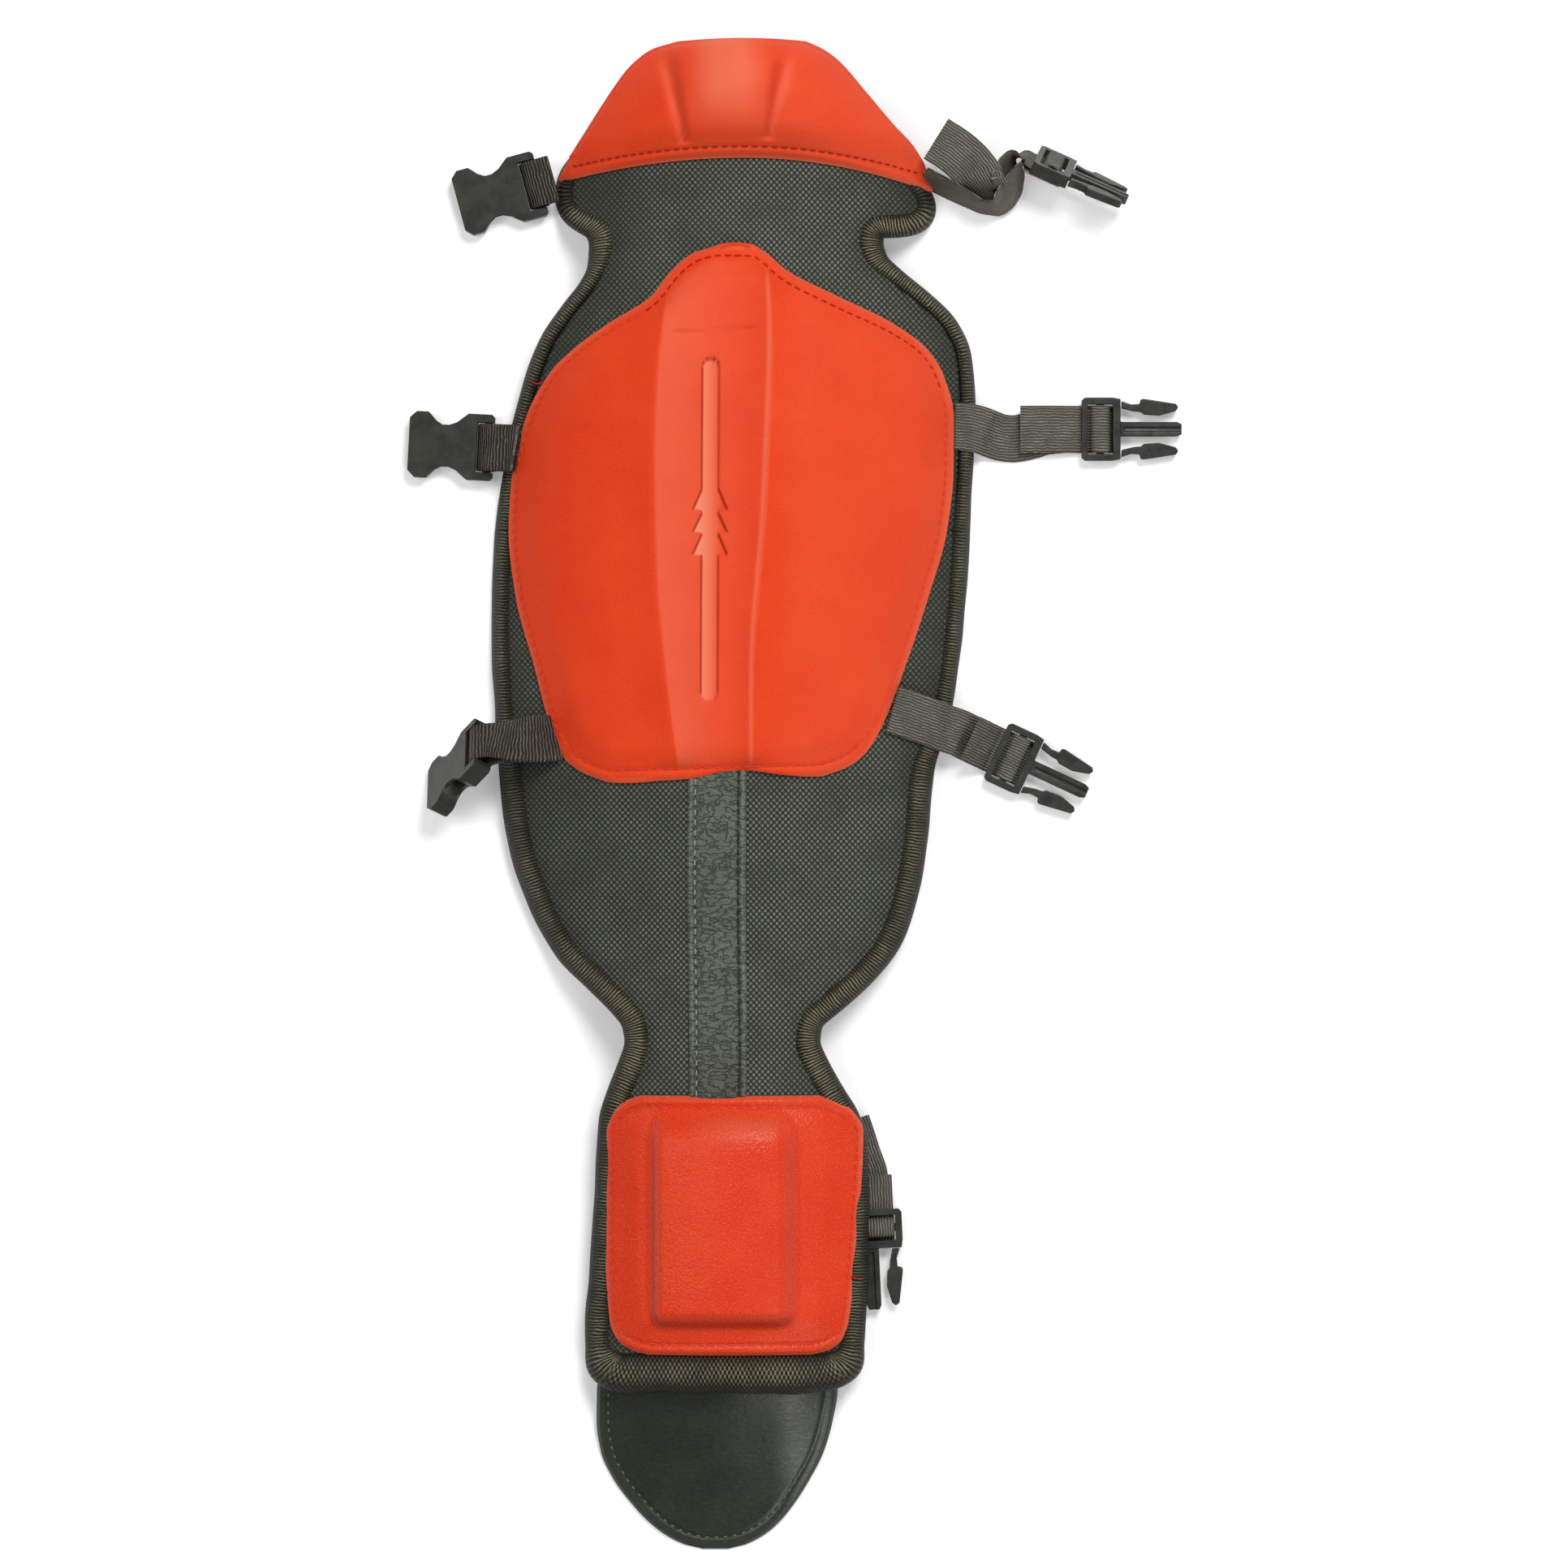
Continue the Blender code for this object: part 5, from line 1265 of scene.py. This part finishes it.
def buildTab(where, shape):
    # tape folded double: out under, half a turn round the bar, back over
    barAcross = turned(shape["yaw"], shape.get("roll", 0.0), shape.get("pitch", 0.0)) @ np.array([0, 1.0, 0])
    path = lying(shape["route"] + [shape["bar"]], shape["onCloth"], web["tabLift"])
    count = len(path)
    side = planSides(path)
    side[-2:] = barAcross
    if shape["root"]:
        side[0] = unit(np.array(shape["root"]))
    for i, share in enumerate(shape.get("twist", ())):
        side[i] = unit(side[i] + (barAcross - side[i]) * share)
    travel = unit(np.stack([path[min(i + 1, count - 1)] - path[max(i - 1, 0)] for i in range(count)]))
    normal = unit(np.cross(travel, side))
    half = (web["thick"] + web["gap"]) / 2
    share = np.clip((np.arange(count) - count + 3) / 2, 0, None)[:, None]
    offset = normal * (half + (web["loop"] - half) * share)
    arrive = unit(path[-1] - path[-2])
    arrive = unit(arrive - barAcross * arrive.dot(barAcross))
    rise = unit(np.cross(arrive, barAcross))
    turn = np.linspace(0, math.pi, 9)[1:-1, None]
    loop = path[-1] + web["loop"] * (arrive * np.sin(turn) - rise * np.cos(turn))
    under, over = path - offset, path + offset
    under[-1] = path[-1] - rise * web["loop"]
    over[-1] = path[-1] + rise * web["loop"]
    route = np.concatenate([under, loop, over[::-1]])
    sides = np.concatenate([side, np.repeat(barAcross[None], len(loop), 0), side[::-1]])
    label = labelOf(where)
    ribbon("tab" + label, route, sides, "tab_" + where, ["tab_" + where], webFinish, step=0.8)
    mouldedCopy("socket_" + where, "socket" + label, "socket_" + where, socketFinish)


for where, shape in tabs.items():
    buildTab(where, shape)
print("tabs and sockets done")


def tailWrap(origin, turn):
    # the loose end round the plug's middle bar, in the plug's own x and z
    wrap = np.array([(-5.1, 0.5), (-5.1, 3.1), (-5.9, 5.2), (-8.6, 5.9), (-11.3, 5.2), (-12.2, 3.2), (-13.0, 1.9),
                     (-15.0, 1.4), (-17.6, 1.4)])
    return origin + np.insert(wrap, 1, 0, axis=1) @ turn.T


def behind(origin, yaw, back, z):
    return (*(origin - heading(yaw) * back)[:2], z)


plugs = dict(
    shin_upper=dict(origin=(167.3, 155.5, web["plugZ"]), yaw=0.0, roll=0.0, onCloth=3, slack=(42.0, 18.0),
                    route=[(96.9, 156.4, 0), (101, 156.3, 0), (105.0, 155.8, 0), (109.0, 154.6, 8.6),
                           (112.5, 153.4, 4.2), (117, 152.0, 1.7), (122, 151.6, 1.0), (128, 152.6, 1.0),
                           (136, 154.8, 1.0), (145, 155.5, 1.0), (164.6, 155.5, 1.0)],
                    tail=[(22, 4.6), (29, 5.8), (36, 5.9), (42.5, 5.2)]),
    shin_lower=dict(origin=(129.5, 12.0, web["plugZ"]), yaw=-25.0, roll=0.0, onCloth=4, slack=(36.0, 18.0),
                    route=[(70.3, 36.2, 0), (78, 33.8, 0), (86, 31.0, 0), (93.4, 28.2, 0)],
                    back=[(34.0, 12.4), (30.0, 6.4), (26.0, 2.4), (22.0, 1.0), (2.7, 1.0)],
                    tail=[(20.5, 6.4), (24.5, 11.2), (28.5, 16.2)]),
    ankle=dict(origin=(61.6, -192.5, web["plugZ"]), yaw=-87.3, roll=0.0, onCloth=0, slack=(48.0, 18.0),
               route=[(51.0, -139.0, 3.2), (53.4, -146, 2.2), (55.6, -153, 1.4), (58.6, -162, 1.0)],
               back=[(2.7, 1.0)], tail=[(21, 3.9), (26, 4.0), (31, 3.9)]),
    knee=dict(origin=(145.0, 260.6, 13.6), yaw=-24.0, roll=-68.0, onCloth=0, slack=(45.0, 10.0),
              route=[(83.6, 262.4, 11.8), (95.0, 256.6, 11.8), (103.0, 252.4, 12.0), (109.5, 249.4, 12.2),
                     (114.0, 249.0, 12.4), (117.8, 252.4, 12.6), (120.8, 257.6, 13.0), (123.4, 263.0, 13.2)],
              sides=[(-0.10, -0.33, -0.94), (-0.10, -0.31, -0.945), (-0.08, -0.25, -0.965), (-0.04, -0.20, -0.98),
                     (0.14, -0.25, -0.96), (0.32, -0.36, -0.88), (0.4, -0.28, -0.87), (0.34, 0.0, -0.94)],
              local=[(-20.4, -1.2), (-18.0, -1.1), (-2.7, -1.1)],
              tailRoute=[(126.4, 270.8, 14.2), (122.8, 270.6, 14.4), (119.6, 266.4, 14.8), (116.4, 260.6, 15.2),
                         (112.8, 256.0, 16.0), (110.0, 258.2, 18.2), (106.4, 262.8, 21.6), (102.0, 267.6, 25.0),
                         (96.2, 272.4, 27.4), (88.6, 277.2, 28.6)],
              tailSides=[(0.2, 0.25, -0.94), (0.3, 0.0, -0.95), (0.4, -0.28, -0.86), (0.3, -0.42, -0.86),
                         (0.0, -0.5, -0.86), (-0.12, -0.62, -0.77), (-0.25, -0.84, -0.48), (-0.38, -0.91, -0.16),
                         (-0.5, -0.86, 0.0), (-0.55, -0.83, 0.05)]))


def buildPlug(where, shape):
    label = labelOf(where)
    turn = turned(shape["yaw"], shape["roll"])
    origin = np.array(shape["origin"])
    plan = list(shape["route"])
    plan += [behind(origin, shape["yaw"], back, z) for back, z in shape.get("back", [])]
    path = lying(plan, shape["onCloth"], web["lift"])
    side = planSides(path)
    plugSide = turn @ np.array([0, 1.0, 0])
    if "sides" in shape:
        near = np.array([origin + turn @ np.array([x, 0, z]) for x, z in shape["local"]])
        path = np.concatenate([path, near])
        side = np.concatenate([np.array(shape["sides"], float), np.repeat(plugSide[None], len(near), 0)])
    # the strap's slide with the plug runs between two points behind it, as far back as its slack; the strap itself is
    # baked in place
    ahead = heading(shape["yaw"])
    start, end = [tuple((origin - ahead * back + (centreX, 0, 0)) * mm) for back in shape["slack"]]
    slide = dict(first="strap_" + where, second="plug_" + where, start=start, end=end)
    ribbon("strap" + label, path, side, slide, ["strap_" + where], strapFinish)
    wrap = tailWrap(origin, turn)
    wrapSide = np.repeat(plugSide[None], len(wrap), 0)
    if "tailRoute" in shape:
        end, endSide = np.array(shape["tailRoute"]), np.array(shape["tailSides"])
    else:
        end = np.array([behind(origin, shape["yaw"], back, z) for back, z in shape["tail"]])
        endSide = np.repeat(plugSide[None], len(end), 0)
    ribbon("tail" + label, np.concatenate([wrap, end]), np.concatenate([wrapSide, endSide]), "plug_" + where,
           ["tail_" + where], strapFinish, step=0.8)
    mouldedCopy("plug_" + where, "plug" + label, "plug_" + where, plugFinish)
    for hand in ("left", "right"):
        node = "plug_arm_" + where + "_" + hand
        mouldedCopy(node, "plugArm" + label + hand.capitalize(), node, plugFinish)


for where, shape in plugs.items():
    buildPlug(where, shape)
print("straps and plugs done")

# Floor, light and camera

studio = dict(floorColour=(0.97, 0.97, 0.97), floorHalf=6.0, floorGlow=0.22, world=0.28, lens=200.0, sensor=36.0,
              aim=(-0.0036, 0.0048), width=0.6616, plane=0.03,
              lamps=[("key", (0.75, 1.7, 3.0), 72.0, 1.1), ("fill", (-1.6, 0.4, 3.0), 25.0, 1.4),
                     ("sheen", (1.75, -2.0, 2.4), 25.0, 1.4)])


def buildStudio():
    mesh = bpy.data.meshes.new("floor")
    half = studio["floorHalf"]
    mesh.from_pydata([(-half, -half, 0), (half, -half, 0), (half, half, 0), (-half, half, 0)], [], [(0, 1, 2, 3)])
    floor = bpy.data.objects.new("floor", mesh)
    scene.collection.objects.link(floor)
    paint, tree, shader = startFinish("floor_paint", 0.9, 0.1)
    shader.inputs["Base Color"].default_value = (*studio["floorColour"], 1)
    eyeOnly = node(tree, "LightPath", {}, "Is Camera Ray")
    shader.inputs["Emission Color"].default_value = (1, 1, 1, 1)
    feed(shader.inputs["Emission Strength"], times(eyeOnly, studio["floorGlow"]))
    mesh.materials.append(paint)
    world = bpy.data.worlds.new("studio")
    world.use_nodes = True
    sky = world.node_tree.nodes["Background"]
    sky.inputs["Color"].default_value = (1, 1, 1, 1)
    sky.inputs["Strength"].default_value = studio["world"]
    scene.world = world
    for name, place, power, size in studio["lamps"]:
        lamp = bpy.data.lights.new(name, "AREA")
        lamp.energy = power
        lamp.size = size
        holder = bpy.data.objects.new(name, lamp)
        scene.collection.objects.link(holder)
        holder.location = place
        reach = math.hypot(place[0], place[1])
        holder.rotation_euler = (0, math.atan2(reach, place[2]), math.atan2(place[1], place[0]))
    eye = bpy.data.cameras.new("eye")
    eye.lens = studio["lens"]
    eye.sensor_width = studio["sensor"]
    holder = bpy.data.objects.new("eye", eye)
    scene.collection.objects.link(holder)
    far = studio["width"] * studio["lens"] / studio["sensor"]
    holder.location = (*studio["aim"], studio["plane"] + far)
    scene.camera = holder
    scene.view_settings.view_transform = "Standard"


buildStudio()
print("studio ready")
